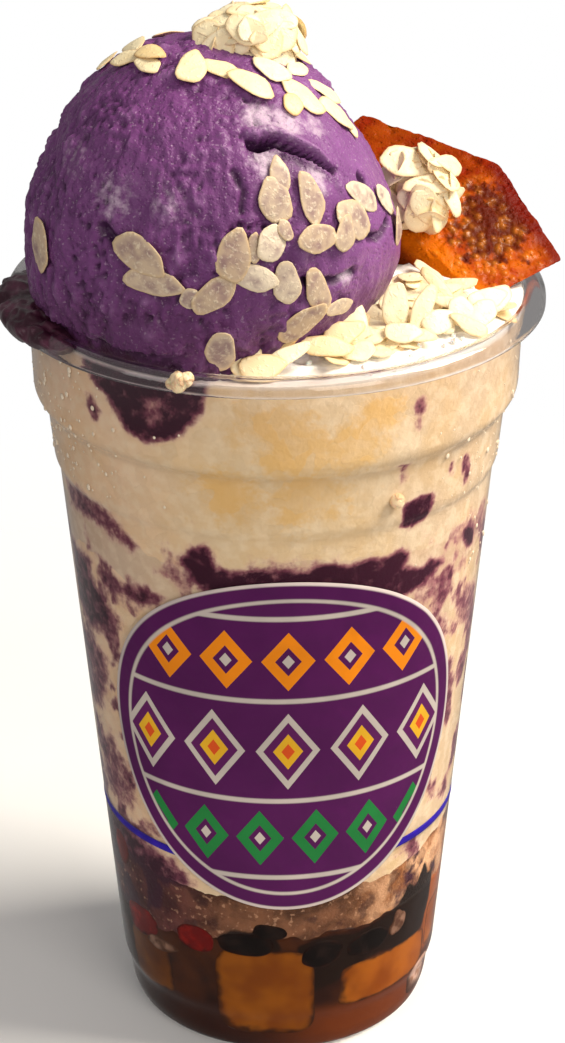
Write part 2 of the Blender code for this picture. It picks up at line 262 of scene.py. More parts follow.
def grainGroup():
    # crushed ice: flat crystals with thin seams, and fine grain over them
    group, given, out = groupShell("iceGrain", [("Size", 4.0), ("Fine", 0.9)], ["Height", "Crystal", "Seam"])
    place = put(group, "ShaderNodeTexCoord").outputs["Object"]
    scale = sums(group, "DIVIDE", 1 / mm, given["Size"])
    wobble = put(group, "ShaderNodeTexNoise", {"Vector": place, "Scale": scale, "Detail": 2.0})
    shift = put(group, "ShaderNodeVectorMath", {0: wobble.outputs["Color"], 3: 1.6 * mm}, operation="SCALE")
    moved = put(group, "ShaderNodeVectorMath", {0: place, 1: shift.outputs[0]}, operation="ADD").outputs[0]
    cells = put(group, "ShaderNodeTexVoronoi", {"Vector": moved, "Scale": scale})
    seams = put(group, "ShaderNodeTexVoronoi", {"Vector": moved, "Scale": scale}, feature="DISTANCE_TO_EDGE")
    fineScale = sums(group, "DIVIDE", 1 / mm, given["Fine"])
    fine = put(group, "ShaderNodeTexNoise", {"Vector": place, "Scale": fineScale, "Detail": 3.0})
    crystal = put(group, "ShaderNodeSeparateColor", {0: cells.outputs["Color"]}).outputs[0]
    seam = ramp(group, seams.outputs["Distance"], 0.12, 0.0)
    height = sums(group, "MULTIPLY_ADD", fine.outputs[0], 0.6, sums(group, "MULTIPLY", crystal, 0.5))
    group.links.new(height, out["Height"])
    group.links.new(crystal, out["Crystal"])
    group.links.new(seam, out["Seam"])
    return group


def poreGroup():
    # skin with fine grain and small open pores
    group, given, out = groupShell("poreSkin", [("Size", 1.2), ("Grain", 0.4), ("Depth", 1.0)], ["Height", "Pore"])
    place = put(group, "ShaderNodeTexCoord").outputs["Object"]
    scale = sums(group, "DIVIDE", 1 / mm, given["Size"])
    cells = put(group, "ShaderNodeTexVoronoi", {"Vector": place, "Scale": scale}, feature="SMOOTH_F1")
    pore = ramp(group, cells.outputs["Distance"], 0.34, 0.12)
    grainScale = sums(group, "DIVIDE", 1 / mm, given["Grain"])
    grain = put(group, "ShaderNodeTexNoise", {"Vector": place, "Scale": grainScale, "Detail": 3.0})
    sunk = sums(group, "MULTIPLY", pore, given["Depth"])
    group.links.new(sums(group, "SUBTRACT", sums(group, "MULTIPLY", grain.outputs[0], 0.5), sunk), out["Height"])
    group.links.new(pore, out["Pore"])
    return group


groups = {"patches": patchGroup(), "stain": stainGroup(), "grain": grainGroup(), "pores": poreGroup()}


def use(tree, name, **inputs):
    node = tree.nodes.new("ShaderNodeGroup")
    node.node_tree = groups[name]
    for socket, value in inputs.items():
        if isinstance(value, bpy.types.NodeSocket):
            tree.links.new(value, node.inputs[socket])
        else:
            node.inputs[socket].default_value = value
    return node.outputs


# the cup: one clear sheet with stacking steps and a rolled lip

cup = {
    "sheet": 0.55,
    "turnSteps": 176,
    "cornerReach": 1.7,
    "outside": [(0, 2.9), (23.4, 2.9), (24.2, 2.5), (25.2, 0.5), (25.8, 0), (27, 0), (28.7, 1.1),
                (29.6, 3.6), (30.2, 8.2), (31.1, 10.6), (40.4, 116.2), (41.2, 117.6), (42.3, 128.6),
                (44.5, 130.8), (45, 146.6)],
    "lipCentre": (46.725, 147.725),
    "lipArc": 1.725,
    "lipEdge": (48.45, 146.9),
    "tint": (0.97, 0.98, 0.985, 1.0),
    "lipTint": (0.90, 0.88, 0.90, 1.0),
    "contentsReach": 0.1,  # how far the contents reach into the sheet, so that no air shows
}


def softLine(points, reach, steps=4):
    points = [Vector(p) for p in points]
    line = [points[0]]
    for before, corner, after in zip(points, points[1:], points[2:]):
        near = min(reach, (corner - before).length * 0.45, (after - corner).length * 0.45)
        start = corner + (before - corner).normalized() * near
        end = corner + (after - corner).normalized() * near
        for step in range(steps + 1):
            t = step / steps
            line.append(start * (1 - t) ** 2 + corner * 2 * t * (1 - t) + end * t * t)
    line.append(points[-1])
    return line


def offsetLine(line, distance):
    # shift a line to the left of its travel, with mitred corners
    runs = [(after - before).normalized() for before, after in zip(line, line[1:])]
    shifted = []
    for place, point in enumerate(line):
        before, after = runs[max(place - 1, 0)], runs[min(place, len(runs) - 1)]
        mean = (before + after).normalized()
        moved = point + Vector((-mean.y, mean.x)) * distance / max(mean.dot(after), 0.5)
        shifted.append(Vector((0 if point.x == 0 else moved.x, moved.y)))
    return shifted


def cupLine():
    line = softLine(cup["outside"], cup["cornerReach"])
    arcSteps = 14
    for step in range(1, arcSteps + 1):
        angle = math.pi * (1 - step / arcSteps)
        line.append(Vector(cup["lipCentre"]) + Vector((math.cos(angle), math.sin(angle))) * cup["lipArc"])
    line.append(Vector(cup["lipEdge"]))
    return line


outsideLine = cupLine()
rising = np.array([p for p in outsideLine if p.x > 28 and p.y < 146.7 and p.x < 45.01])


def wallRadius(height, inset=0.0):
    return np.interp(height, rising[:, 1], rising[:, 0]) - inset


def turnLine(line, steps):
    turns = np.radians(np.arange(steps) * 360 / steps)
    radius = np.array([p[0] for p in line])[:, None]
    height = np.array([p[1] for p in line])[:, None]
    ones = np.ones((1, steps))
    return np.stack([radius * np.sin(turns), -radius * np.cos(turns), height * ones], 2)


def clearMaterial():
    material, tree, shader = newMaterial("clearPlastic", Roughness=0.04, IOR=1.28, Transmission_Weight=1.0,
                                         Specular_Tint=(0.3, 0.3, 0.3, 1), Coat_Roughness=0.06)
    ripples = use(tree, "patches", Size=9.0, Detail=1.0, Low=0.2, High=0.8)
    bumped(tree, shader, ripples["Mask"], 0.12)
    lip = attribute(tree, "lip")
    tree.links.new(mixColours(tree, lip, cup["tint"], cup["lipTint"]), shader.inputs["Base Color"])
    tree.links.new(lip, shader.inputs["Coat Weight"])
    clear = put(tree, "ShaderNodeBsdfTransparent", {"Color": (0.93, 0.93, 0.92, 1)})
    path = put(tree, "ShaderNodeLightPath")
    swap = put(tree, "ShaderNodeMixShader", {0: path.outputs["Is Shadow Ray"], 1: shader.outputs[0],
                                             2: clear.outputs[0]})
    output = tree.nodes["Material Output"]
    tree.links.new(swap.outputs[0], output.inputs["Surface"])
    return material


def makeCup():
    section = outsideLine + offsetLine(outsideLine, cup["sheet"])[::-1]
    rings = turnLine(section, cup["turnSteps"])
    points = rings.reshape(-1, 3)
    mesh = fromLists("cup_wall", points, ringFaces(len(section), cup["turnSteps"]),
                     lip=smooth(145.9, 146.6, points[:, 2]))
    return dress(newObject("cup_wall", mesh, clearMaterial()), "clear_plastic", "cup")


makeCup()
print("cup done")


# what fills the cup: syrup, soaked ice, milky ice, a band of ube and milky ice again

fill = {
    "turnSteps": 264,
    "rowHeight": 0.9,
    "acrossRings": 9,
    "topRings": 46,
    "syrupTop": (28, 0.10, 0.0, 1.3, 3, 0.4),  # level, slope right, slope back, swell, waves, phase
    "soakedTop": (43, 0.04, 0.13, 1.4, 4, 1.2),
    "lowerTop": (102, -0.02, 0.0, 1.6, 5, 2.1),
    "ubeTop": (110.5, -0.03, 0.0, 1.5, 4, 0.3),
    "moundRim": 147.3,
    "moundRise": 5.5,
    "moundCentre": (18, -6),
    "moundSpread": 15,
    "meanRadius": 38,
    "ripple": (1.1, 3.6),  # height and size of the small unevenness between the layers
}

# ube against the wall: an outline of turns and heights, how soft its edge is, and its strength
ubePatches = [
    ([(-49, 147.4), (-46, 143), (-41, 141), (-38, 138), (-36, 135.5), (-31, 134.3), (-27, 135), (-23, 136),
      (-19, 139.5), (-16, 142), (-15, 147.4)], 1.0, 1.0),
    ([(-48, 140.5), (-46, 140.5), (-43, 137.5), (-44, 135.5), (-46, 135), (-48, 138)], 0.8, 0.8),
    ([(-74, 116), (-60, 117.5), (-51, 116.5), (-44, 114.5), (-39, 111), (-41, 109.5), (-48, 110.5),
      (-56, 111.5), (-70, 111)], 1.6, 0.72),
    ([(-78, 103), (-61, 102.5), (-60, 98), (-53, 95.5), (-48, 93), (-53, 89), (-67, 86), (-78, 89)], 2.0, 0.86),
    ([(-52, 102), (-45, 102), (-37, 103), (-31, 101.5), (-34, 99), (-42, 98.5), (-48, 99.5)], 1.3, 0.85),
    ([(-26, 110.5), (-22, 114), (-18, 114.5), (-16, 111), (-12, 109.5), (-6, 110.5), (1, 110.6), (7, 110),
      (10, 111.2), (15, 111.2), (20, 110.2), (24, 110.8), (30, 110.4), (34, 111.5), (37, 109.5), (36, 107.5),
      (41, 106), (45, 107), (51, 105), (44, 102), (37, 101), (20, 99), (0, 99), (-12, 101), (-20, 105)],
     1.0, 1.0),
    ([(33, 142.5), (35.5, 142.2), (36, 139.5), (34.5, 138.5), (34.2, 135.5), (32.6, 136), (33, 138.5),
      (31.6, 140.5)], 0.5, 0.72),
    ([(28.6, 129.8), (33.4, 129.6), (33, 128.2), (32.6, 124.3), (31.2, 124.6), (31, 127.8)], 0.5, 0.66),
    ([(32, 120.5), (38, 121.5), (42, 121.2), (42.5, 118.5), (41, 116), (37, 115), (32.6, 116), (32.8, 118)],
     0.6, 1.0),
    ([(52, 126.4), (55.5, 125.3), (57.4, 121), (55, 119), (52.6, 122.5)], 0.5, 0.76),
    ([(46.6, 126.4), (48.6, 125.8), (49.4, 122.8), (47, 123.8)], 0.5, 0.62),
    ([(58.6, 108.5), (62, 109.5), (66.6, 107), (66.6, 103.6), (62.6, 104), (59.5, 106)], 0.6, 1.0),
    ([(48, 102), (54, 100), (54, 95), (50, 95.5)], 1.2, 0.6),
    ([(58, 94), (64, 96), (78, 93), (74, 84), (61, 88)], 2.0, 0.62),
    ([(48, 94), (54, 93), (59, 87), (50, 88)], 1.4, 0.6),
    ([(-50, 37), (-45, 38), (-42, 35), (-43, 30), (-51, 28)], 1.2, 0.9),
    ([(-75, 60), (-62, 66), (-52, 60), (-50, 52), (-60, 48), (-72, 50)], 2.6, 0.66),
    ([(-82, 38), (-82, 47.5), (-66, 46), (-50, 44.5), (-36, 43), (-28, 39), (-40, 36)], 2.0, 0.92),
    ([(-84, 84), (-66, 86), (-58, 82), (-60, 74), (-68, 68), (-84, 66)], 2.4, 0.74),
]
paleSpot = ([(-30, 143), (-26, 143.5), (-25.5, 140), (-28, 138), (-30.5, 139.5)], 1.6, 0.32)
creamyIce = [((-2, 139.8), 5), ((5, 135), 7), ((17, 135.4), 5.5), ((-11, 126), 6), ((7, 126), 8), ((24, 141), 4)]
# dark beans, and syrup thick with them, close behind the wall low in the cup
darkPatches = [
    ([(-22, 27.5), (-16, 30), (-1, 29.8), (1, 26), (-7, 23.6), (-16, 24.2)], 1.0),
    ([(6, 26.5), (15, 28.5), (27, 27.6), (37, 28.6), (45, 30), (50, 34), (54, 31.8), (59, 36.5), (62, 32.5), (66, 33), (66, 26), (62, 20),
      (52, 19.4), (38, 20.6), (27, 20), (23, 17.4), (12, 15.2)], 0.8),
]


def surface(values, x, y):
    level, right, back, swell, waves, phase = values
    reach = np.hypot(x, y) / 40
    angle = np.arctan2(y, x)
    ripple = np.sin(waves * angle + phase) + 0.5 * np.sin((waves + 3) * angle - phase)
    small = roughness(np.stack([x, y, 0 * x + level], 1), fill["ripple"][1], 3)
    return level + right * x + back * y + swell * reach * ripple + fill["ripple"][0] * small


def mound(values, x, y):
    away = (x - fill["moundCentre"][0]) ** 2 + (y - fill["moundCentre"][1]) ** 2
    return fill["moundRim"] + fill["moundRise"] * np.exp(-away / (2 * fill["moundSpread"] ** 2)) + 0 * x


def wallRows(low, high, lowValues, highValues):
    # rings up the wall between two uneven surfaces, and the two surfaces' rims
    turns = np.radians(np.arange(fill["turnSteps"]) * 360 / fill["turnSteps"])
    flat = np.stack([np.sin(turns), -np.cos(turns)])
    inset = cup["sheet"] - cup["contentsReach"]

    def rim(shape, values, start):
        height = np.full(len(turns), float(start))
        for _ in range(2):
            radius = wallRadius(height, inset)
            height = shape(values, flat[0] * radius, flat[1] * radius)
        return height

    base = rim(low, lowValues, lowValues[0]) if low else np.full(len(turns), float(lowValues))
    top = rim(high, highValues, highValues[0])
    count = max(2, int((top.mean() - base.mean()) / fill["rowHeight"]))
    rows = []
    for share in np.linspace(0, 1, count + 1):
        height = base + (top - base) * share
        radius = wallRadius(height, inset)
        rows.append(np.stack([flat[0] * radius, flat[1] * radius, height], 1))
    return rows


def acrossRows(rim, shape, values, count):
    # rings from just inside the rim to the middle, at the surface's height
    rows = []
    for share in np.linspace(1, 0, count + 1)[1:]:
        x, y = rim[:, 0] * share, rim[:, 1] * share
        rows.append(np.stack([x, y, shape(values, x, y)], 1))
    return rows


def addStreaks(mesh):
    points = coordinates(mesh)
    radius = np.hypot(points[:, 0], points[:, 1])
    turn = np.degrees(np.arctan2(points[:, 0], -points[:, 1]))
    arc, height = np.radians(turn) * fill["meanRadius"], points[:, 2]

    def field(outline, soft, around=0):
        path = [(math.radians(t - around) * fill["meanRadius"], z) for t, z in outline]
        return outlineField(arc, height, path, soft)

    ube = np.zeros(len(points))
    for outline, soft, strength in ubePatches:
        ube = np.maximum(ube, strength * field(outline, soft))
    outline, soft, loss = paleSpot
    ube -= loss * field(outline, soft) * smooth(0.5, 1.0, ube)
    maker = random.Random(11)
    for _ in range(30):  # the same kind of patches round the back
        turnAt, low = maker.uniform(88, 270), maker.uniform(52, 130)
        wide, tall, lean = maker.uniform(3, 9), maker.uniform(1, 3), maker.uniform(-3, 3)
        outline = [(turnAt + wide * math.cos(a) * maker.uniform(0.6, 1.2),
                    low + tall * math.sin(a) + lean * math.cos(a)) for a in np.arange(7) * 2 * math.pi / 7]
        strength = maker.uniform(0.6, 1.0)
        for around in (0, 360):
            ube = np.maximum(ube, strength * field(outline, 1.0, around))
    # thin ube milk in cloudy patches low at both sides
    sides = smooth(0.42, 0.85, np.abs(points[:, 0]) / np.maximum(radius, 1)) * smooth(113, 102, height)
    band = 0.7 * smooth(96, 103, height) * smooth(116, 109, height)
    clouds = roughness(points * [1, 1, 0.8], 6.5, 4, 21.0)
    ube = np.maximum(ube, 0.74 * np.maximum(sides, band) * smooth(-0.2, 0.4, clouds))
    nearWall = radius > wallRadius(height, 4.0)
    paint(mesh, "ube", ube * nearWall)
    icy = np.zeros(len(points))
    for (centre, middle), spread in creamyIce:
        away = np.hypot(arc - math.radians(centre) * fill["meanRadius"], height - middle)
        icy = np.maximum(icy, np.exp(-((away / spread) ** 2)))
    paint(mesh, "icy", icy)
    dark = np.zeros(len(points))
    for outline, soft in darkPatches:
        dark = np.maximum(dark, field(outline, soft))
    paint(mesh, "dark", dark * nearWall)
    paint(mesh, "side", points[:, 0] / np.maximum(radius, 1))  # -1 left, 0 front and back, 1 right
    # painted light: the top of the cream is painted near-white, as if lit from above
    paint(mesh, "top", smooth(146.4, 148.2, height))


def iceMaterial(name, milk, icy, grainShare=0.3, bumpDepth=0.22):
    # milk holds three colours: for the left, the front and the right of the cup. The left one is painted lighter, as
    # painted light on the dim left side, and the right one darker, as painted shade on the brightly lit right side.
    material, tree, shader = newMaterial(name, Roughness=0.5, Specular_IOR_Level=0.1)
    side = attribute(tree, "side")
    colour = mixColours(tree, ramp(tree, side, -0.15, -0.85), milk[1], milk[0])
    colour = mixColours(tree, ramp(tree, side, 0.15, 0.8), colour, milk[2])
    clouds = use(tree, "patches", Size=10.0, Detail=5.0, Low=0.3, High=0.72)
    colour = mixColours(tree, sums(tree, "MULTIPLY", clouds["Mask"], 0.25), colour, icy)
    snow = use(tree, "patches", Size=2.6, Detail=5.0, Low=0.42, High=0.64)
    colour = mixColours(tree, sums(tree, "MULTIPLY", snow["Mask"], 0.3), colour, tone(248, 232, 206))
    grain = use(tree, "grain", Size=3.0, Fine=0.9)
    icyMask = use(tree, "stain", Field=attribute(tree, "icy"), Size=3.0, Ragged=1.9, Soft=0.3)
    crystals = sums(tree, "MULTIPLY_ADD", grain["Crystal"], 0.4, 0.3)
    colour = mixColours(tree, sums(tree, "MULTIPLY", icyMask["Core"], crystals), colour, icy)
    light = mixColours(tree, grain["Crystal"], (0.84, 0.82, 0.79, 1), (1.06, 1.06, 1.06, 1))
    colour = mixColours(tree, grainShare, colour, mixColours(tree, 1.0, colour, light, "MULTIPLY"))
    ube = use(tree, "stain", Field=attribute(tree, "ube"), Size=2.2, Ragged=1.05, Soft=0.22)
    thin = use(tree, "patches", Size=1.6, Detail=4.0, Low=0.46, High=0.66)
    colour = mixColours(tree, sums(tree, "MULTIPLY", ube["Halo"], 0.6), colour, streak["halo"])
    colour = mixColours(tree, ube["Core"], colour, mixColours(tree, thin["Mask"], streak["middle"], streak["thin"]))
    colour = mixColours(tree, ube["Deep"], colour, streak["deep"])
    # painted light on the cream's top
    colour = mixColours(tree, attribute(tree, "top"), colour, tone(255, 253, 249))
    tree.links.new(colour, shader.inputs["Base Color"])
    bumped(tree, shader, grain["Height"], bumpDepth)
    return material


def makeLayer(name, node, slot, material, low, lowValues, high, highValues, topRings, relief=0.0):
    rows = wallRows(low, high, lowValues, highValues)
    under = acrossRows(rows[0], low, lowValues, fill["acrossRings"])[::-1]
    over = acrossRows(rows[-1], high, highValues, topRings)
    rings = np.array(under + rows + over)
    if relief:
        first = len(under) + len(rows)
        flat = rings[first:].reshape(-1, 3)
        edge = np.clip((44.2 - np.hypot(flat[:, 0], flat[:, 1])) / 2.5, 0, 1)
        lumps = roughness(flat, 4.2, 3, 2.0) * 0.9 + np.abs(roughness(flat, 1.7, 2, 5.0)) * 0.7
        flat[:, 2] += relief * lumps * edge
        rings[first:] = flat.reshape(rings[first:].shape)
    mesh = fromLists(name, rings.reshape(-1, 3), ringFaces(len(rings), fill["turnSteps"]))
    addStreaks(mesh)
    item = newObject(name, mesh, material)
    crease(mesh)
    return dress(item, slot, node)


streak = {"halo": tone(204, 148, 146), "thin": tone(152, 98, 106), "middle": tone(116, 61, 78),
          "deep": tone(58, 22, 40)}


def milkyMaterial(name):
    # left colour painted lighter and right colour painted darker: painted light and shade by side
    milk = (tone(240, 208, 176), tone(230, 206, 170), tone(204, 180, 152))
    return iceMaterial(name, milk, tone(226, 180, 102))


def makeIce():
    lower = milkyMaterial("lowerMilkIce")
    makeLayer("lower_milk_ice", "ice_lower", "milk_ice", lower, surface, fill["soakedTop"],
              surface, fill["lowerTop"], fill["acrossRings"])
    # the right colour is painted darker, as painted shade on the lit right side
    band = iceMaterial("ubeBand", (tone(220, 194, 170), tone(224, 200, 166), tone(200, 172, 146)),
                       tone(190, 146, 108))
    makeLayer("ube_swirl", "ube_layer", "ube_cream", band, surface, fill["lowerTop"],
              surface, fill["ubeTop"], fill["acrossRings"])
    upper = milkyMaterial("upperMilkIce")
    makeLayer("upper_milk_ice", "ice_upper", "milk_ice", upper, surface, fill["ubeTop"],
              mound, (fill["moundRim"],), fill["topRings"], 0.6)


syrup = {"dark": tone(40, 19, 13), "thin": tone(70, 35, 17), "black": tone(30, 17, 12)}


def soakedMaterial():
    material, tree, shader = newMaterial("soakedIce", Roughness=0.35, Specular_IOR_Level=0.14)
    clouds = use(tree, "patches", Size=5.0, Detail=5.0, Low=0.36, High=0.66)
    grain = use(tree, "grain", Size=2.4, Fine=0.7)
    side = attribute(tree, "side")
    left = mixColours(tree, clouds["Mask"], tone(68, 32, 34), tone(104, 56, 54))
    front = mixColours(tree, clouds["Mask"], tone(84, 52, 34), tone(132, 88, 62))
    right = mixColours(tree, clouds["Mask"], tone(160, 102, 60), tone(222, 174, 134))
    colour = mixColours(tree, ramp(tree, side, -0.2, -0.7), front, left)
    colour = mixColours(tree, ramp(tree, side, 0.34, 0.76), colour, right)
    glint = use(tree, "patches", Size=1.1, Detail=2.0, Low=0.60, High=0.70)
    colour = mixColours(tree, sums(tree, "MULTIPLY", glint["Mask"], 0.4), colour, tone(226, 176, 140))
    crystals = sums(tree, "MULTIPLY", ramp(tree, grain["Crystal"], 0.6, 1.0), 0.35)
    colour = mixColours(tree, crystals, colour, tone(70, 38, 28))
    ube = use(tree, "stain", Field=attribute(tree, "ube"), Size=2.6, Ragged=1.0, Soft=0.22)
    colour = mixColours(tree, ube["Core"], colour, tone(62, 28, 44))
    dark = use(tree, "patches", Size=4.5, Detail=4.0, Low=0.56, High=0.68)
    colour = mixColours(tree, sums(tree, "MULTIPLY", dark["Mask"], 0.6), colour, tone(50, 24, 28))
    murk = use(tree, "stain", Field=attribute(tree, "dark"), Size=2.4, Ragged=0.8, Soft=0.2)
    colour = mixColours(tree, murk["Core"], colour, syrup["black"])
    tree.links.new(colour, shader.inputs["Base Color"])
    bumped(tree, shader, grain["Height"], 0.5)
    return material


def syrupMaterial():
    material, tree, shader = newMaterial("darkSyrup", Roughness=0.3, Specular_IOR_Level=0.05)
    clouds = use(tree, "patches", Size=8.0, Detail=3.0, Low=0.38, High=0.68)
    colour = mixColours(tree, clouds["Mask"], syrup["dark"], syrup["thin"])
    height = put(tree, "ShaderNodeSeparateXYZ", {0: put(tree, "ShaderNodeTexCoord").outputs["Object"]}).outputs[2]
    side = attribute(tree, "side")
    base = mixColours(tree, ramp(tree, side, -0.2, 0.45), tone(52, 25, 18), tone(112, 52, 20))
    low = ramp(tree, height, 13 * mm, 9 * mm)
    colour = mixColours(tree, sums(tree, "MULTIPLY", low, 0.85), colour, base)
    wall = sums(tree, "MULTIPLY", ramp(tree, side, 0.86, 0.92), ramp(tree, height, 12 * mm, 15 * mm))
    colour = mixColours(tree, wall, colour, tone(150, 78, 30))
    murk = use(tree, "stain", Field=attribute(tree, "dark"), Size=2.4, Ragged=0.8, Soft=0.22)
    colour = mixColours(tree, murk["Core"], colour, syrup["black"])
    tree.links.new(colour, shader.inputs["Base Color"])
    bumped(tree, shader, clouds["Mask"], 0.1)
    return material


def makeSyrup():
    inner = offsetLine(outsideLine, cup["sheet"] - cup["contentsReach"])
    bottom = [p for p in inner if p.y < 9 and p.x < 31]
    under = list(turnLine(bottom, fill["turnSteps"]))
    rows = wallRows(None, surface, bottom[-1].y + 0.4, fill["syrupTop"])
    over = acrossRows(rows[-1], surface, fill["syrupTop"], fill["acrossRings"])
    rings = np.array(under + rows + over)
    mesh = fromLists("syrup_pool", rings.reshape(-1, 3), ringFaces(len(rings), fill["turnSteps"]))
    addStreaks(mesh)
    dress(newObject("syrup_pool", mesh, syrupMaterial()), "syrup", "syrup_base")


makeIce()
makeLayer("soaked_crush", "soaked_ice", "soaked_ice", soakedMaterial(), surface, fill["syrupTop"],
          surface, fill["soakedTop"], fill["acrossRings"])
makeSyrup()
print("layers done")


# jelly, beans and bits that show against the wall in the syrup

sunk = {
    # turn, height, half sizes (round, in, up) and roll of each block of amber jelly
    "jelly": [(-4.5, 15.6, 9.8, 5, 10.4, 1), (43.5, 15.2, 12.0, 5, 4.9, 0), (-53, 15.6, 6.4, 5, 6.2, 6),
              (72, 19, 3.6, 4, 5.4, 0), (100, 14, 8, 5, 7, 5), (150, 16, 9, 5, 8, -6), (205, 14, 8, 5, 8, 8),
              (255, 16, 8, 5, 6, -9)],
    "redBeans": [(-29.6, 26.3, 4.9, 3, 3.5, 6), (-56, 24, 6.6, 3, 4.0, 12), (-65, 38.5, 3.4, 2, 4.4, 0),
                 (128, 27, 4.5, 3, 2.8, -12), (215, 25, 4.4, 3, 3, 20), (182, 31, 4, 3, 2.5, 0)],
    "blackBeans": [(-11, 27.0, 6.4, 3, 3.0, 3), (-3, 30.2, 4.0, 3, 2.0, -6), (15, 24.4, 4.6, 3, 3.6, 10),
                   (33, 24.6, 5.4, 3, 3.2, 6), (95, 25, 5, 3, 2.6, 6), (165, 26, 5, 3, 2.4, -8),
                   (235, 27, 5.2, 3, 2.5, 8)],
    "ice": [(66, 8.4, 4.6, 3, 4.6, 10), (45.5, 26, 2.4, 2, 3.2, -20), (-46, 21.0, 4.4, 2, 1.8, 4),
            (120, 20, 4, 2, 3, 10), (190, 18, 4, 2, 4, 0)],
}


def addLump(bm, rims, turn, height, halfRound, halfIn, halfUp, roll, square, uneven, proud, shift):
    # a rounded block or bean pressed flat against the inside of the wall
    ball = bmesh.ops.create_icosphere(bm, subdivisions=5, radius=1)["verts"]
    tilt = math.radians(roll)
    reach = wallRadius(height, cup["sheet"]) - halfIn * 0.55
    for vert in ball:
        way = vert.co.copy()
        boxed = way / sum(abs(c) ** square for c in way) ** (1 / square)
        rough = 1 + uneven * noise.noise(way * 1.3 + Vector((shift, shift, 0)))
        across, inward, up = boxed.x * halfRound * rough, boxed.y * halfIn, boxed.z * halfUp * rough
        across, up = across * math.cos(tilt) - up * math.sin(tilt), across * math.sin(tilt) + up * math.cos(tilt)
        z = height + up
        wall = float(wallRadius(z, cup["sheet"] - proud))
        radius = min(reach + inward, wall)
        angle = math.radians(turn) + across / wallRadius(height, 0)
        vert.co = Vector((math.sin(angle) * radius, -math.cos(angle) * radius, z)) * mm
        vert[rims] = (abs(boxed.x) ** square + abs(boxed.z) ** square) ** (1 / square)


def makeLumps(name, slot, lumps, square, uneven, proud, material):
    bm = bmesh.new()
    rims = bm.verts.layers.float.new("rim")
    for place, lump in enumerate(lumps):
        addLump(bm, rims, *lump, square, uneven, proud + 0.01 * place, place * 3.7)
    mesh = bpy.data.meshes.new(name)
    bm.to_mesh(mesh)
    bm.free()
    return dress(newObject(name, mesh, material), slot)


def murkyEdge(tree, colour, low, high, torn):
    # what is sunk fades into the syrup towards its edge
    cloud = use(tree, "patches", Size=2.2, Detail=4.0, Low=0.3, High=0.7)
    rim = sums(tree, "MULTIPLY_ADD", cloud["Mask"], torn, attribute(tree, "rim"))
    murk = sums(tree, "MULTIPLY", ramp(tree, rim, low + torn * 0.5, high + torn * 0.5), 0.9)
    return mixColours(tree, murk, colour, syrup["dark"])


def jellyMaterial():
    material, tree, shader = newMaterial("amberJelly", Roughness=0.3, Specular_IOR_Level=0.05)
    across = put(tree, "ShaderNodeSeparateXYZ", {0: put(tree, "ShaderNodeTexCoord").outputs["Object"]}).outputs[0]
    side = sums(tree, "DIVIDE", across, 31 * mm)
    streaky = use(tree, "patches", Size=7.0, Detail=2.0, Low=0.3, High=0.7)
    left = mixColours(tree, streaky["Mask"], tone(84, 42, 12), tone(112, 62, 14))
    front = mixColours(tree, streaky["Mask"], tone(116, 58, 12), tone(140, 78, 16))
    right = mixColours(tree, streaky["Mask"], tone(128, 62, 12), tone(160, 88, 22))
    colour = mixColours(tree, ramp(tree, side, -0.3, -0.7), front, left)
    colour = mixColours(tree, ramp(tree, side, 0.2, 0.7), colour, right)
    tree.links.new(murkyEdge(tree, colour, 0.84, 1.0, 0.08), shader.inputs["Base Color"])
    bumped(tree, shader, streaky["Mask"], 0.15)
    return material


def beanMaterial(name, dark, pale, shine):
    material, tree, shader = newMaterial(name, Roughness=shine, Specular_IOR_Level=0.05)
    spots = use(tree, "patches", Size=3.5, Detail=4.0, Low=0.45, High=0.7)
    colour = murkyEdge(tree, mixColours(tree, spots["Mask"], dark, pale), 0.6, 1.0, 0.3)
    tree.links.new(colour, shader.inputs["Base Color"])
    bumped(tree, shader, spots["Mask"], 0.12)
    return material


def sunkIceMaterial():
    material, tree, shader = newMaterial("sunkIce", Roughness=0.5, Specular_IOR_Level=0.05)
    clouds = use(tree, "patches", Size=2.0, Detail=4.0, Low=0.4, High=0.68)
    across = put(tree, "ShaderNodeSeparateXYZ", {0: put(tree, "ShaderNodeTexCoord").outputs["Object"]}).outputs[0]
    dull = mixColours(tree, clouds["Mask"], tone(140, 106, 88), tone(84, 54, 40))
    pale = mixColours(tree, clouds["Mask"], tone(206, 168, 150), tone(160, 112, 84))
    colour = mixColours(tree, ramp(tree, across, 24 * mm, 26.5 * mm), dull, pale)
    rim = ramp(tree, attribute(tree, "rim"), 0.4, 0.95)
    tree.links.new(mixColours(tree, rim, colour, tone(70, 38, 22)), shader.inputs["Base Color"])
    bumped(tree, shader, clouds["Mask"], 0.15)
    return material


makeLumps("jelly_blocks", "syrup", sunk["jelly"], 6, 0.07, 0.13, jellyMaterial())
makeLumps("red_beans", "syrup", sunk["redBeans"], 2.2, 0.16, 0.24,
          beanMaterial("redBean", tone(100, 12, 10), tone(140, 22, 14), 0.3))
makeLumps("black_beans", "syrup", sunk["blackBeans"], 2.3, 0.16, 0.3,
          beanMaterial("blackBean", tone(18, 12, 11), tone(34, 23, 20), 0.6))
makeLumps("sunk_ice", "milk_ice", sunk["ice"], 2.4, 0.5, 0.36, sunkIceMaterial())
print("beans and jelly done")


# the round label and the fill line on the wall

label = {
    "radius": 36,
    "height": 72,
    "turn": 3,
    "proud": 0.22,
    "rings": 40,
    "segments": 160,
    "bubbles": [((25, 24), 2.0, 0.30), ((21, 29), 1.5, 0.24), ((29, 17), 1.2, 0.2), ((-30, -8), 1.4, 0.12)],
    "fillLine": 45.6,
    "fillLineHalf": 0.8,
}


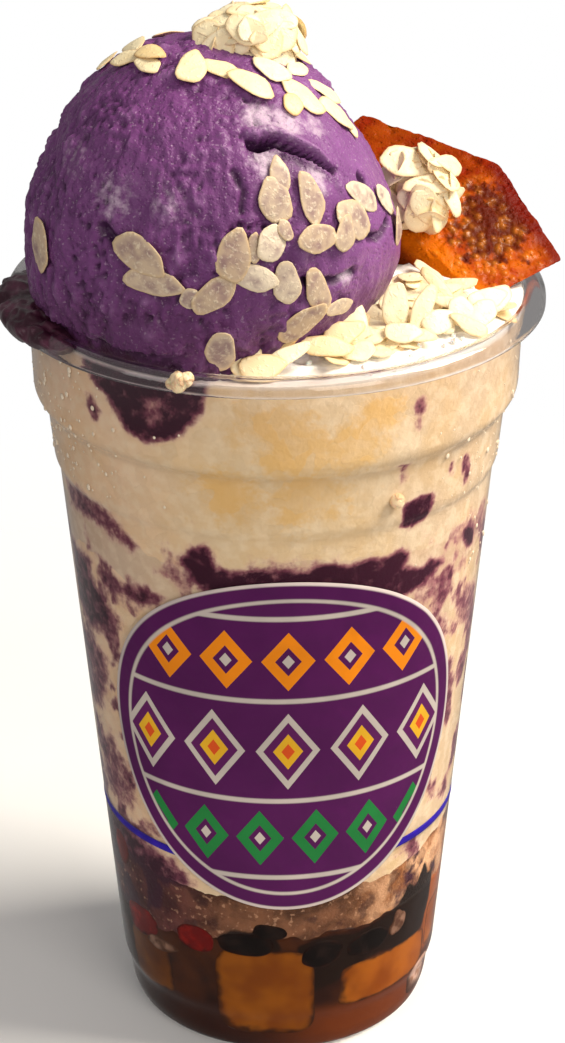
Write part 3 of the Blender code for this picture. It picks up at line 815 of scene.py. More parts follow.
def labelCoordinates(tree):
    # sideways and upwards from the label's middle, in label radii
    place = put(tree, "ShaderNodeSeparateXYZ", {0: put(tree, "ShaderNodeTexCoord").outputs["Object"]}).outputs
    angle = sums(tree, "ARCTAN2", place[0], sums(tree, "MULTIPLY", place[1], -1.0))
    turned = sums(tree, "SUBTRACT", angle, math.radians(label["turn"]))
    across = sums(tree, "MULTIPLY", turned, float(wallRadius(label["height"])) / label["radius"])
    up = sums(tree, "DIVIDE", sums(tree, "SUBTRACT", place[2], label["height"] * mm), label["radius"] * mm)
    return across, up


def diamonds(tree, across, up, width, height, offset):
    # 0 at the middle of each woven diamond, 1 at its corners
    a = sums(tree, "PINGPONG", sums(tree, "ADD", across, offset), width)
    b = sums(tree, "PINGPONG", up, height)
    a = sums(tree, "DIVIDE", a, width)
    b = sums(tree, "DIVIDE", b, height)
    return sums(tree, "ADD", a, b)


def labelMaterial():
    material, tree, shader = newMaterial("labelFilm", Roughness=0.5, Specular_IOR_Level=0.1)
    across, up = labelCoordinates(tree)
    radius = sums(tree, "SQRT", sums(tree, "ADD", sums(tree, "MULTIPLY", across, across),
                                     sums(tree, "MULTIPLY", up, up)))
    violet, pale = tone(84, 22, 84), tone(196, 186, 178)
    orange, green, yellow = tone(240, 138, 16), tone(34, 128, 62), tone(232, 178, 40)
    colour = violet

    def over(mask, paintColour):
        nonlocal colour
        colour = mixColours(tree, mask, colour, paintColour)

    def step(value, low, high=None):
        # 1 where value lies between low and high
        above = ramp(tree, value, low - 0.006, low + 0.006)
        if high is None:
            return above
        return sums(tree, "MULTIPLY", above, ramp(tree, value, high + 0.006, high - 0.006))

    upper = step(up, 0.34, 0.74)
    lower = step(up, -0.74, -0.34)
    middle = step(up, -0.27, 0.27)
    big = diamonds(tree, across, up, 0.19, 0.27, 0.0)
    small = diamonds(tree, across, sums(tree, "SUBTRACT", up, 0.54), 0.15, 0.2, 0.0)
    below = diamonds(tree, across, sums(tree, "ADD", up, 0.54), 0.15, 0.2, 0.15)
    over(sums(tree, "MULTIPLY", middle, step(big, 0.0, 0.86)), pale)
    over(sums(tree, "MULTIPLY", middle, step(big, 0.0, 0.66)), tone(96, 28, 92))
    over(sums(tree, "MULTIPLY", middle, step(big, 0.0, 0.4)), yellow)
    over(sums(tree, "MULTIPLY", middle, step(big, 0.0, 0.18)), tone(222, 84, 30))
    over(sums(tree, "MULTIPLY", upper, step(small, 0.42, 0.86)), orange)
    over(sums(tree, "MULTIPLY", upper, step(small, 0.0, 0.2)), pale)
    over(sums(tree, "MULTIPLY", lower, step(below, 0.42, 0.86)), green)
    over(sums(tree, "MULTIPLY", lower, step(below, 0.0, 0.2)), pale)
    for line in (0.305, -0.305, 0.79, -0.79):
        over(step(up, line - 0.014, line + 0.014), pale)
    over(step(radius, 0.90), violet)
    over(step(radius, 0.885, 0.905), pale)
    over(step(radius, 0.982), tone(214, 200, 196))
    fade = use(tree, "patches", Size=14.0, Detail=3.0, Low=0.3, High=0.75)
    worn = mixColours(tree, fade["Mask"], (0.84, 0.84, 0.84, 1), (1.04, 1.03, 1.02, 1))
    colour = mixColours(tree, 1.0, colour, worn, "MULTIPLY")
    tree.links.new(colour, shader.inputs["Base Color"])
    crinkle = use(tree, "patches", Size=7.0, Detail=2.0, Low=0.3, High=0.7)
    bumped(tree, shader, crinkle["Mask"], 0.18)
    return material


def makeLabel():
    centreRadius = float(wallRadius(label["height"]))
    rings = []
    for skin in (1, 0):
        shares = np.linspace(0, 1, label["rings"] + 1)
        for share in shares if skin else shares[::-1]:
            turns = np.radians(np.arange(label["segments"]) * 360 / label["segments"])
            x = np.sin(turns) * share * label["radius"]
            y = np.cos(turns) * share * label["radius"]
            proud = np.full(len(x), label["proud"] if skin else 0.04)
            if skin:
                for (bx, by), spread, lift in label["bubbles"]:
                    proud += lift * np.exp(-((x - bx) ** 2 + (y - by) ** 2) / spread**2)
                proud += 0.03 * np.sin(x / 3.1 + y / 7) * np.sin(y / 4.3)
            radius = wallRadius(label["height"] + y) + proud
            angle = math.radians(label["turn"]) + x / centreRadius
            ring = np.stack([np.sin(angle) * radius, -np.cos(angle) * radius, label["height"] + y], 1)
            rings.append(ring)
    mesh = fromLists("label_print", np.array(rings).reshape(-1, 3), ringFaces(len(rings), label["segments"]))
    dress(newObject("label_print", mesh, labelMaterial()), "label_film", "label")


def makeFillLine():
    level, half = label["fillLine"], label["fillLineHalf"]
    out, back = float(wallRadius(level)) + 0.035, float(wallRadius(level)) - 0.02
    section = [(back, level - half), (out, level - half + 0.05), (out, level + half - 0.05), (back, level + half)]
    mesh = fromLists("fill_line", turnLine(section, 160).reshape(-1, 3), ringFaces(4, 160, True))
    material, tree, shader = newMaterial("fillLineInk", Roughness=0.45, Specular_IOR_Level=0.12)
    worn = use(tree, "patches", Size=3.0, Detail=4.0, Low=0.3, High=0.8)
    tree.links.new(mixColours(tree, worn["Mask"], tone(38, 16, 140), tone(52, 24, 170)),
                   shader.inputs["Base Color"])
    dress(newObject("fill_line", mesh, material), "label_film")


makeLabel()
makeFillLine()
print("label done")


# the scoop of ube ice cream

scoop = {
    "centre": (-11.4, -11, 166.3),
    "size": (32.3, 32.3, 31.8),
    "cells": 126,
    # turn, rise, spread, height of the broad bulges and hollows
    "lobes": [(-88, 8, 12, 0.7), (-74, -26, 18, 2.6), (92, 32, 26, -3.2), (86, -14, 24, 1.6),
              (-86, 28, 22, -2.0), (-30, 3, 12, -1.4), (-22, -46, 20, 11),
              (-24, 20, 7, -1.1), (-18, 12, 4, 1.2), (8, 30, 9, 0.6), (40, 20, 10, 0.7)],
    "crease": [(13, 41.5), (20, 40), (27, 40.5), (34, 37), (40, 33), (47, 27)],
    "creaseEnds": (14.5, 19.5, 42, 51),
    # path, half width in degrees and depth
    "cracks": [([(58, 3), (64, 1), (72, 3)], 0.9, 1.6), ([(62, 22), (64, 19)], 0.8, 1.4),
               ([(-34, 12), (-28, 7), (-24, 10)], 1.4, 1.8), ([(-36, -27), (-26, -31), (-12, -31)], 2.0, 3.0),
               ([(30, -4), (42, -7), (50, -6)], 0.9, 1.4), ([(9, 32), (12, 26), (11, 20)], 0.8, 0.9),
               ([(10.5, 16)], 0.6, 1.4), ([(11.5, 12.5)], 0.5, 1.2), ([(10, 9)], 0.6, 1.3), ([(11, 5)], 0.5, 1.2),
               ([(7, 13)], 0.5, 1.0), ([(13, 15)], 0.5, 1.0), ([(9, 1)], 0.6, 1.2)],
    # pale patches, partly real frost and partly a painted highlight where the light catches the upper right
    "frost": [((25, 49), 6, 0.9), ((36, 45), 6, 0.9), ((23, 33), 6, 0.85), ((38, 26), 6, 0.7),
              ((50, 42), 6, 0.6), ((-32, 22), 9, 0.5), ((-12, 22), 8, 0.4), ((48, -7), 3, 0.9),
              ((-55, 30), 9, 0.35)],
    "smoothSide": (72, 40),  # turn of the middle of the smooth side, and its spread
    "skin": tone(118, 66, 122),
    "satin": tone(142, 88, 148),
    # painted shade for the hollows, then painted highlight for the crests
    "deep": tone(58, 26, 62),
    "pale": tone(160, 116, 164),
    "melt": tone(60, 24, 44),
    "frostTone": tone(212, 190, 208),
}


def cubeBall(cells):
    # a ball whose points lie on six even grids
    points, faces = [], []
    line = np.tan(np.linspace(-1, 1, cells + 1) * math.pi / 4)
    a, b = np.meshgrid(line, line, indexing="ij")
    one = np.ones_like(a)
    sides = [(one, a, b), (-one, b, a), (b, one, a), (a, -one, b), (a, b, one), (b, a, -one)]
    for side, parts in enumerate(sides):
        grid = np.stack([p.ravel() for p in parts], 1)
        points.append(grid / np.linalg.norm(grid, axis=1)[:, None])
        base = side * (cells + 1) ** 2
        for row in range(cells):
            for column in range(cells):
                corner = base + row * (cells + 1) + column
                faces.append((corner, corner + 1, corner + cells + 2, corner + cells + 1))
    return np.concatenate(points), faces


def scoopRelief(ways, turn, rise):
    # bulges, scooped lumps with sharp valleys, chains of pits, drag marks, the crease and cracks
    swell = np.zeros(len(ways))
    for lobeTurn, lobeRise, spread, height in scoop["lobes"]:
        angle = np.degrees(np.arccos(np.clip(ways @ np.array(aim(lobeTurn, lobeRise)), -1, 1)))
        swell += height * np.exp(-((angle / spread) ** 2))
    middle, spread = scoop["smoothSide"]
    uneven = 1 - 0.8 * np.exp(-(((turn - middle) / spread) ** 2))
    places = ways * np.array(scoop["size"])
    around = np.stack([np.sin(np.radians(turn)) * 32, -np.cos(np.radians(turn)) * 32, rise * 0.56], 1)
    lumps = np.abs(roughness(places * [1, 1, 0.62], 4.6, 3, 3.0))
    knobs = np.abs(roughness(places * [1, 1, 0.7], 1.9, 2, 12.0))
    chains = smooth(-0.02, 0.3, roughness(around * [1, 1, 0.3], 4.2, 2, 9.0))
    holes = pits(places * [1, 1, 0.85], 1.7, 0.28, 1.0) * chains * uneven
    drag = roughness(around * [1, 1, 0.14], 1.25, 2, 5.0)
    rough = uneven * (0.45 + 0.75 * smooth(-0.25, 0.35, roughness(places, 11.0, 2, 31.0)))
    fine = roughness(places * [1, 1, 0.8], 1.05, 2, 7.0)
    relief = rough * (1.15 * lumps + 0.45 * knobs + 0.22 * fine - 0.45) + 0.14 * drag * (1.3 - uneven * 0.5)
    relief -= 0.7 * holes
    wide = np.cos(np.radians(rise))
    for path, width, depth in scoop["cracks"]:
        gap = strokeDistance(turn * wide, rise, [(t * math.cos(math.radians(r)), r) for t, r in path])
        relief -= depth * np.exp(-((gap / (width * 1.4)) ** 2))
    line = np.array(scoop["crease"])
    above = rise - np.interp(turn, line[:, 0], line[:, 1])
    start, full, fading, end = scoop["creaseEnds"]
    share = smooth(start, full, turn) * smooth(end, fading, turn)
    slit = np.where(above > 0, above / 1.0, above / (1.9 - 0.9 * smooth(20, 45, turn)))
    relief -= share * 4.6 * np.exp(-(slit**4))
    relief += share * 1.4 * np.exp(-(((above - 3.2) / 2.2) ** 2))
    relief -= share * 0.6 * np.exp(-(((above + 4.0) / 3.0) ** 2))
    foot = smooth(-19, -27, rise) * smooth(30, 5, turn) * smooth(-80, -60, turn)
    relief += foot * (1.3 * np.abs(roughness(places, 2.6, 3, 14.0)) - 0.8 * pits(places, 2.4, 0.34, 4.0) - 0.2)
    melt = smooth(-25, -33, rise + 3 * roughness(places, 5.0, 2, 17.0)) * smooth(14, -4, turn) * smooth(-95, -80, turn)
    # painted shade: the lower half darkens towards the bottom
    melt = np.maximum(melt, 0.4 * smooth(2, -28, rise + 5 * roughness(places, 9.0, 2, 23.0)))
    return swell + 0.45 * roughness(places, 8.0, 2), relief, uneven, melt


def makeScoop():
    ways, faces = cubeBall(scoop["cells"])
    centre, size = np.array(scoop["centre"]), np.array(scoop["size"])
    turn = np.degrees(np.arctan2(ways[:, 0], -ways[:, 1]))
    rise = np.degrees(np.arcsin(np.clip(ways[:, 2], -1, 1)))
    swell, relief, uneven, melt = scoopRelief(ways, turn, rise)
    frost = np.zeros(len(ways))
    for (frostTurn, frostRise), spread, strength in scoop["frost"]:
        angle = np.degrees(np.arccos(np.clip(ways @ np.array(aim(frostTurn, frostRise)), -1, 1)))
        frost = np.maximum(frost, strength * np.exp(-((angle / spread) ** 2)))
    points = centre + ways * size + ways * (swell + relief)[:, None]
    reach = np.hypot(points[:, 0], points[:, 1])
    limit = wallRadius(points[:, 2], cup["sheet"] + 0.4)
    squeeze = np.where((points[:, 2] < 152) & (reach > limit), limit / reach, 1.0)
    points[:, :2] *= squeeze[:, None]
    mesh = fromLists("scoop_ice_cream", points, faces, frost=frost, relief=np.clip(0.5 + relief * 0.55, 0, 1),
                     uneven=uneven, melt=melt)
    return dress(newObject("scoop_ice_cream", mesh, scoopMaterial()), "ube_ice_cream", "ube_scoop")


def scoopMaterial():
    material, tree, shader = newMaterial("ubeIceCream", IOR=1.4, Subsurface_Weight=0.15, Subsurface_Scale=1.0 * mm,
                                         Specular_IOR_Level=0.35)
    shader.inputs["Subsurface Radius"].default_value = (1.0, 0.4, 1.0)
    clouds = use(tree, "patches", Size=7.0, Detail=5.0, Low=0.34, High=0.68)
    skin = use(tree, "pores", Size=0.9, Grain=0.45, Depth=0.35)
    relief, uneven = attribute(tree, "relief"), attribute(tree, "uneven")
    colour = mixColours(tree, ramp(tree, uneven, 0.35, 0.9), scoop["satin"], scoop["skin"])
    colour = mixColours(tree, sums(tree, "MULTIPLY", clouds["Mask"], 0.35), colour, tone(98, 50, 104))
    # painted shade in the hollows, pits, cracks and the crease slit, where the relief sinks
    colour = mixColours(tree, sums(tree, "MULTIPLY", ramp(tree, relief, 0.5, 0.08), 0.8), colour, scoop["deep"])
    # painted highlight on the crests
    crestHighlight = sums(tree, "MULTIPLY", ramp(tree, relief, 0.56, 0.9), 0.4)
    colour = mixColours(tree, crestHighlight, colour, scoop["pale"])
    # pale frost, partly real frost and partly painted highlight
    frost = use(tree, "stain", Field=attribute(tree, "frost"), Size=1.6, Ragged=1.2, Soft=0.3)
    colour = mixColours(tree, sums(tree, "MULTIPLY", frost["Core"], 0.7), colour, scoop["frostTone"])
    sparkle = use(tree, "patches", Size=0.6, Detail=2.0, Low=0.62, High=0.72)
    colour = mixColours(tree, sums(tree, "MULTIPLY", sparkle["Mask"], 0.3), colour, scoop["frostTone"])
    # melt at the front foot, and painted shade darkening the lower half
    colour = mixColours(tree, attribute(tree, "melt"), colour, scoop["melt"])
    tree.links.new(colour, shader.inputs["Base Color"])
    gloss = sums(tree, "MULTIPLY_ADD", clouds["Mask"], 0.16, 0.32)
    tree.links.new(gloss, shader.inputs["Roughness"])
    bumped(tree, shader, skin["Height"], 0.32)
    return material


scoopItem = makeScoop()
print("scoop done")


# the block of leche flan

flan = {
    "corner": (37.5, -8.7, 148.3),
    "wide": (15.3, 12.7, 3.3),
    "tall": (-12, 10.7, 8.9),
    "deep": (-25.2, 13.5, 5.6),
    "flare": (0.9, 5, 4.6),
    "sag": (1.5, 2, -6.8),
    "rounding": 0.8,
    "cells": 90,
    "burnAt": (0.62, 0.62),
}


def flanPlace(across, deep, up):
    parts = {key: np.array(flan[key]) for key in ("corner", "wide", "tall", "deep", "flare", "sag")}
    a, d, u = across[:, None], deep[:, None], up[:, None]
    return (parts["corner"] + a * parts["wide"] + u * parts["tall"] + d * parts["deep"]
            + a * u * parts["flare"] + d * (1 - u) * parts["sag"])


def makeFlan():
    cells = flan["cells"]
    line = np.linspace(0, 1, cells + 1)
    a, b = np.meshgrid(line, line, indexing="ij")
    a, b = a.ravel(), b.ravel()
    zero, one = np.zeros_like(a), np.ones_like(a)
    sides = [(a, zero, b), (b, one, a), (zero, b, a), (one, a, b), (a, b, one), (b, a, zero)]
    grid, faces = [], []
    for side, parts in enumerate(sides):
        grid.append(np.stack(parts, 1))
        for row in range(cells):
            for column in range(cells):
                corner = side * (cells + 1) ** 2 + row * (cells + 1) + column
                faces.append((corner, corner + 1, corner + cells + 2, corner + cells + 1))
    grid = np.concatenate(grid)
    sizes = np.array([Vector(flan[key]).length for key in ("wide", "deep", "tall")])
    inner = np.clip(grid * sizes, flan["rounding"], sizes - flan["rounding"])
    out = grid * sizes - inner
    length = np.maximum(np.linalg.norm(out, axis=1), 1e-6)[:, None]
    share = (inner + out / length * flan["rounding"]) / sizes
    mesh = fromLists("custard_block", flanPlace(*share.T), faces, across=share[:, 0], deep=share[:, 1],
                     up=share[:, 2])
    points, ways = coordinates(mesh), normals(mesh)
    across, deep, up = (painted(mesh, name) for name in ("across", "deep", "up"))
    face = smooth(0.10, 0.03, deep)  # the caramel face
    top = smooth(0.90, 0.98, up)
    burnt = np.hypot((across - flan["burnAt"][0]) / 0.46, (up - flan["burnAt"][1]) / 0.42)
    burn = face * smooth(1.25, 0.45, burnt + 0.45 * roughness(points, 3.0, 3, 5.0))
    froth = face * smooth(0.95, 0.70, across) * smooth(-0.1, 0.35, roughness(points, 4.0, 2, 8.0) + 0.2)
    bubbles = pits(points, 1.7, 0.42, 2.0)
    push = 0.3 * roughness(points, 5.0, 2, 1.0) + 0.1 * roughness(points, 1.4, 2, 2.0)
    push += froth * (0.6 * bubbles - 0.3) - face * 0.3 * pits(points, 1.0, 0.4, 6.0) * (0.3 + burn)
    push -= top * 0.7 * pits(points, 3.0, 0.3, 3.0) * smooth(0.0, 0.3, roughness(points, 4.0, 2, 4.0))
    setCoordinates(mesh, points + ways * push[:, None])
    paint(mesh, "burn", burn)
    brink = np.maximum(smooth(0.78, 0.93, across) * face, 0.6 * smooth(0.95, 0.99, up) * smooth(0.5, 0.9, across))
    paint(mesh, "edge", brink)
    paint(mesh, "bubble", bubbles * froth)
    # painted light: a bright strip along the left edge of the front face and on the left side face near the front; the
    # rest of the sides gets the painted shade below
    beside = smooth(0.03, 0.01, across) * smooth(0.42, 0.16, deep)
    paint(mesh, "litStrip", np.maximum(smooth(0.22, 0.06, across) * face, beside))
    paint(mesh, "shade", 1 - np.maximum(np.maximum(face, top), beside))
    return dress(newObject("custard_block", mesh, flanMaterial()), "custard", "leche_flan")


def flanMaterial():
    material, tree, shader = newMaterial("lecheFlan", IOR=1.42, Subsurface_Weight=0.12, Subsurface_Scale=1.5 * mm,
                                         Coat_Roughness=0.15, Roughness=0.36, Specular_IOR_Level=0.07)
    shader.inputs["Subsurface Radius"].default_value = (1.0, 0.3, 0.05)
    clouds = use(tree, "patches", Size=5.0, Detail=4.0, Low=0.36, High=0.66)
    pores = use(tree, "pores", Size=1.0, Grain=0.35, Depth=0.5)
    colour = mixColours(tree, clouds["Mask"], tone(158, 56, 2), tone(188, 86, 4))
    red = use(tree, "patches", Size=3.6, Detail=4.0, Low=0.52, High=0.66)
    colour = mixColours(tree, sums(tree, "MULTIPLY", red["Mask"], 0.7), colour, tone(156, 40, 4))
    # painted light on the strip along the flan's left edge
    colour = mixColours(tree, attribute(tree, "litStrip"), colour, tone(208, 104, 6))
    burn = use(tree, "stain", Field=attribute(tree, "burn"), Size=1.8, Ragged=1.1, Soft=0.25)
    colour = mixColours(tree, sums(tree, "MULTIPLY", burn["Halo"], 0.8), colour, tone(164, 66, 12))
    colour = mixColours(tree, burn["Core"], colour, tone(90, 26, 8))
    glint = sums(tree, "MULTIPLY", attribute(tree, "bubble"), 0.5)
    colour = mixColours(tree, glint, colour, tone(226, 136, 34))
    colour = mixColours(tree, sums(tree, "MULTIPLY", attribute(tree, "edge"), 0.9), colour, tone(108, 15, 2))
    colour = mixColours(tree, sums(tree, "MULTIPLY", attribute(tree, "shade"), 0.85), colour, tone(112, 40, 6))
    tree.links.new(colour, shader.inputs["Base Color"])
    tree.links.new(sums(tree, "MULTIPLY", attribute(tree, "bubble"), 0.45), shader.inputs["Coat Weight"])
    bumped(tree, shader, pores["Height"], 0.28)
    return material


flanItem = makeFlan()
print("flan done")


# ube jam smeared over the lip

jam = {"arc": (-98, -50), "radius": 45.9, "halfWidth": 5.2, "height": 148.3, "halfHeight": 3.2, "bow": 0.4}


def makeJam():
    ways, faces = cubeBall(46)
    middle, span = sum(jam["arc"]) / 2, (jam["arc"][1] - jam["arc"][0]) / 2
    points = []
    for x, y, z in ways:
        turn = math.radians(middle + z * span)
        radius = jam["radius"] + jam["bow"] * z * z + y * jam["halfWidth"]
        points.append((math.sin(turn) * radius, -math.cos(turn) * radius, jam["height"] + x * jam["halfHeight"]))
    points = np.array(points)
    lumps = 0.9 * roughness(points, 5.0, 2, 1.0) + 0.5 * roughness(points, 2.0, 2, 4.0)
    side = np.stack([points[:, 0], points[:, 1], 0 * points[:, 0]], 1) / 46
    points = points + side * (lumps * 0.5)[:, None]
    points[:, 2] += lumps
    mesh = fromLists("jam_smear", points, faces)
    material, tree, shader = newMaterial("ubeJam", Roughness=0.32, IOR=1.42, Specular_IOR_Level=0.3,
                                         Coat_Weight=0.25, Coat_Roughness=0.2)
    clouds = use(tree, "patches", Size=4.0, Detail=4.0, Low=0.4, High=0.68)
    colour = mixColours(tree, clouds["Mask"], tone(52, 18, 34), tone(94, 50, 70))
    tree.links.new(colour, shader.inputs["Base Color"])
    skin = use(tree, "pores", Size=1.5, Grain=0.8, Depth=0.3)
    bumped(tree, shader, skin["Height"], 0.16)
    return dress(newObject("jam_smear", mesh, material), "ube_jam", "halaya_rim")


makeJam()
print("jam done")


# toasted rice flakes

class FlakeBin:
    # gathers thin flakes into one mesh, with a tint for each and a rim value for the browned edge

    def __init__(self, seed):
        self.points, self.faces, self.tints, self.rims = [], [], [], []
        self.pick = random.Random(seed)

    def add(self, where, normal, heading, length, width, bend=0.0, tint=0.5, thick=0.42, segments=20):
        pick = self.pick
        up = Vector((0, 0, 1)) - normal * normal.z
        up = up.normalized() if up.length > 0.05 else Vector((0, 1, 0))
        side = up.cross(normal)
        lean = math.radians(heading)
        along = up * math.cos(lean) + side * math.sin(lean)
        over = side * math.cos(lean) - up * math.sin(lean)
        wave = [pick.uniform(0, 6.3) for _ in range(3)]
        taper = pick.uniform(0.05, 0.28)
        curl = pick.uniform(-0.12, 0.12)
        base = len(self.points)
        shares = (0.0, 0.4, 0.74, 0.93, 1.0)
        skins = [(share, sign) for sign in (1, -1) for share in (shares if sign > 0 else shares[::-1])]
        for share, sign in skins:
            depth = thick / 2 * math.sqrt(max(0.04, 1 - share**4))
            for step in range(segments):
                t = 2 * math.pi * step / segments
                ragged = 1 + 0.05 * math.sin(3 * t + wave[0]) + 0.04 * math.sin(5 * t + wave[1])
                x = share * ragged * length / 2 * math.cos(t)
                y = share * ragged * width / 2 * math.sin(t) * (1 - taper * math.cos(t))
                dish = bend * (x * x + y * y) / length + curl * x * y / width
                dish += 0.08 * math.sin(x * 1.3 + wave[2]) * share
                self.points.append(Vector(where) + along * x + over * y + normal * (sign * depth - dish))
                self.tints.append(tint)
                self.rims.append(share)
        self.faces += [tuple(base + corner for corner in face) for face in ringFaces(len(skins), segments)]

    def build(self, name, material):
        mesh = bpy.data.meshes.new(name)
        mesh.from_pydata([tuple(p * mm) for p in self.points], [], self.faces)
        paint(mesh, "tint", self.tints)
        paint(mesh, "rim", self.rims)
        bm = bmesh.new()
        bm.from_mesh(mesh)
        bmesh.ops.remove_doubles(bm, verts=bm.verts, dist=0.001 * mm)
        bmesh.ops.recalc_face_normals(bm, faces=bm.faces)
        bm.to_mesh(mesh)
        bm.free()
        return newObject(name, mesh, material)


def flakeMaterial(name, pale, golden, rim, middle, veil):
    material, tree, shader = newMaterial(name, Roughness=0.42, IOR=1.42)
    tint = attribute(tree, "tint")
    clouds = use(tree, "patches", Size=2.6, Detail=4.0, Low=0.35, High=0.7)
    freckle = use(tree, "patches", Size=0.8, Detail=3.0, Low=0.5, High=0.72)
    colour = mixColours(tree, tint, pale, golden)
    inner = sums(tree, "MULTIPLY", clouds["Mask"], ramp(tree, attribute(tree, "rim"), 1.0, 0.6))
    colour = mixColours(tree, sums(tree, "MULTIPLY", inner, veil), colour, middle)
    edge = sums(tree, "MULTIPLY", ramp(tree, attribute(tree, "rim"), 0.78, 1.0),
                sums(tree, "MULTIPLY_ADD", tint, 0.5, 0.35))
    colour = mixColours(tree, edge, colour, rim)
    colour = mixColours(tree, sums(tree, "MULTIPLY", freckle["Mask"], veil * 0.6), colour, tone(250, 236, 206))
    tree.links.new(colour, shader.inputs["Base Color"])
    bumped(tree, shader, freckle["Mask"], 0.07)
    return material


# two copies of the flake colours: the bright one for the crown, the clumps and the heap, and a darker one for the
# scoop's flakes, partly damp with purple showing through and partly painted shade
brightFlake = flakeMaterial("brightFlake", tone(255, 246, 212), tone(244, 214, 154), tone(222, 172, 104),
                            tone(236, 204, 142), 0.3)
dampShadedFlake = flakeMaterial("dampShadedFlake", tone(240, 224, 198), tone(196, 170, 142), tone(214, 184, 142),
                          tone(132, 98, 108), 0.75)

# flakes on the scoop: turn, rise, heading, length, width, tint
scoopFlakes = [
    (-62, 0, 0, 10, 6, 0.9), (-20, 6, 118, 10.5, 6, 0.8), (-16, -2, 95, 11, 4.6, 0.7), (-5, -6, 20, 4, 3.6, 0.5),
    (2, -5, 52, 8.8, 5, 0.9), (8, 7, 8, 9.4, 5.8, 0.95), (14, 9, 5, 5.2, 2.6, 0.9), (19, 10, 20, 6.5, 5.4, 0.1),
    (24, 13, -20, 4, 2.6, 0.8), (22, 22, -12, 8, 5.8, 0.75), (25, 29, 5, 6.5, 3.6, 0.7), (34, 21, -6, 9.4, 4.3, 0.8),
    (34, 9, 95, 8, 5, 0.9), (50, 11, -50, 10, 6, 0.7), (45, 8, 15, 6.5, 5, 0.75), (58, 16, -52, 10, 4.2, 0.2),
    (74, 10, -45, 9, 4.0, 0.1), (78, 0, 5, 7, 4.2, 0.7), (14, 0, 112, 8.6, 4.6, 0.1), (24, -3, -8, 8, 4.8, 0.35),
    (35, -8, -22, 9.6, 4.4, 0.85), (45, -16, 96, 7, 3.2, 0.6), (31, -18, 52, 10.2, 5.4, 1.0),
    (4, -23, 2, 8.8, 5.2, 0.65),
]
# the brighter ones under the clump on top
crownFlakes = [
    (-108, 54, 100, 7, 3.4, 0.4), (-104, 66, 75, 8, 4.4, 0.3), (-60, 70, 80, 8, 4.2, 0.9), (-80, 64, 60, 7, 4.4, 0.4),
    (-12, 68, 12, 8.4, 5, 0.4), (12, 68, 130, 7.5, 4, 0.5), (27, 60, -32, 8.8, 5, 0.45), (50, 64, -20, 7.4, 5, 0.1),
    (77, 60, 100, 7, 3.6, 0.15), (55, 52, -18, 9.6, 5, 0.45), (44, 50, 30, 4.6, 3.8, 0.85), (82, 49, -35, 8.5, 4.6, 0.3),
    (73, 42, -32, 9, 4.6, 0.35), (80, 35, -20, 5, 3, 0.4), (-50, 66, 110, 6.4, 3.8, 0.3), (110, 60, 70, 8, 4.5, 0.4),
    (150, 58, 20, 8, 4.5, 0.5), (-150, 62, 60, 8, 4.6, 0.4), (170, 68, 100, 8, 5, 0.3),
]


def castOn(tree, origin, way):
    # where a ray first meets a surface: place in millimetres and normal
    hit, normal, _, _ = tree.ray_cast(Vector(origin) * mm, Vector(way))
    return (hit / mm, normal) if hit else (None, None)


def surfaceTree(*items):
    bm = bmesh.new()
    for item in items:
        bm.from_mesh(item.data)
    tree = BVHTree.FromBMesh(bm)
    bm.free()
    return tree


scoopTree = surfaceTree(scoopItem)


def layOnScoop(flakes, rows, seed):
    # each flake rests on the highest spots under it
    centre = Vector(scoop["centre"])
    pick = random.Random(seed)
    for turn, rise, heading, length, width, tint in rows:
        way = aim(turn, rise)
        where, normal = castOn(scoopTree, centre + way * 60, -way)
        flat = (way * 1.6 + normal * 0.4 + Vector([pick.uniform(-0.1, 0.1) for _ in range(3)])).normalized()
        side = flat.cross(Vector((0, 0, 1))).normalized()
        highest = 0.0
        for step in range(8):
            angle = step * math.pi / 4
            reach = (side * math.cos(angle) + side.cross(flat) * math.sin(angle)) * width * 0.45
            under, _ = castOn(scoopTree, where + reach + flat * 9, -flat)
            highest = max(highest, (under - where).dot(flat) if under else 0)
        flakes.add(where + flat * (highest * 0.8 + 0.45), flat, heading, length, width, 0.12, tint)


def makeScoopFlakes():
    damp = FlakeBin(5)
    layOnScoop(damp, scoopFlakes, 6)
    dress(damp.build("scoop_flakes", dampShadedFlake), "rice_flake")
    crown = FlakeBin(8)
    layOnScoop(crown, crownFlakes, 9)
    dress(crown.build("crown_flakes", brightFlake), "rice_flake")


clumps = {
    "top": {"centre": (-4, -9.5, 197.6), "half": (9.4, 8.6, 5.6), "count": 56, "seed": 3, "lean": (0, -0.35, 1.0),
            "length": (5.4, 10), "width": (3.8, 7.2), "tumble": 0.42},
    "flan": {"centre": (25.5, 2.5, 166.2), "half": (7.2, 5.6, 7.2), "count": 34, "seed": 4, "lean": (0.4, -0.9, 0.5),
             "length": (5, 11), "width": (3.4, 7.2), "tumble": 0.7},
}


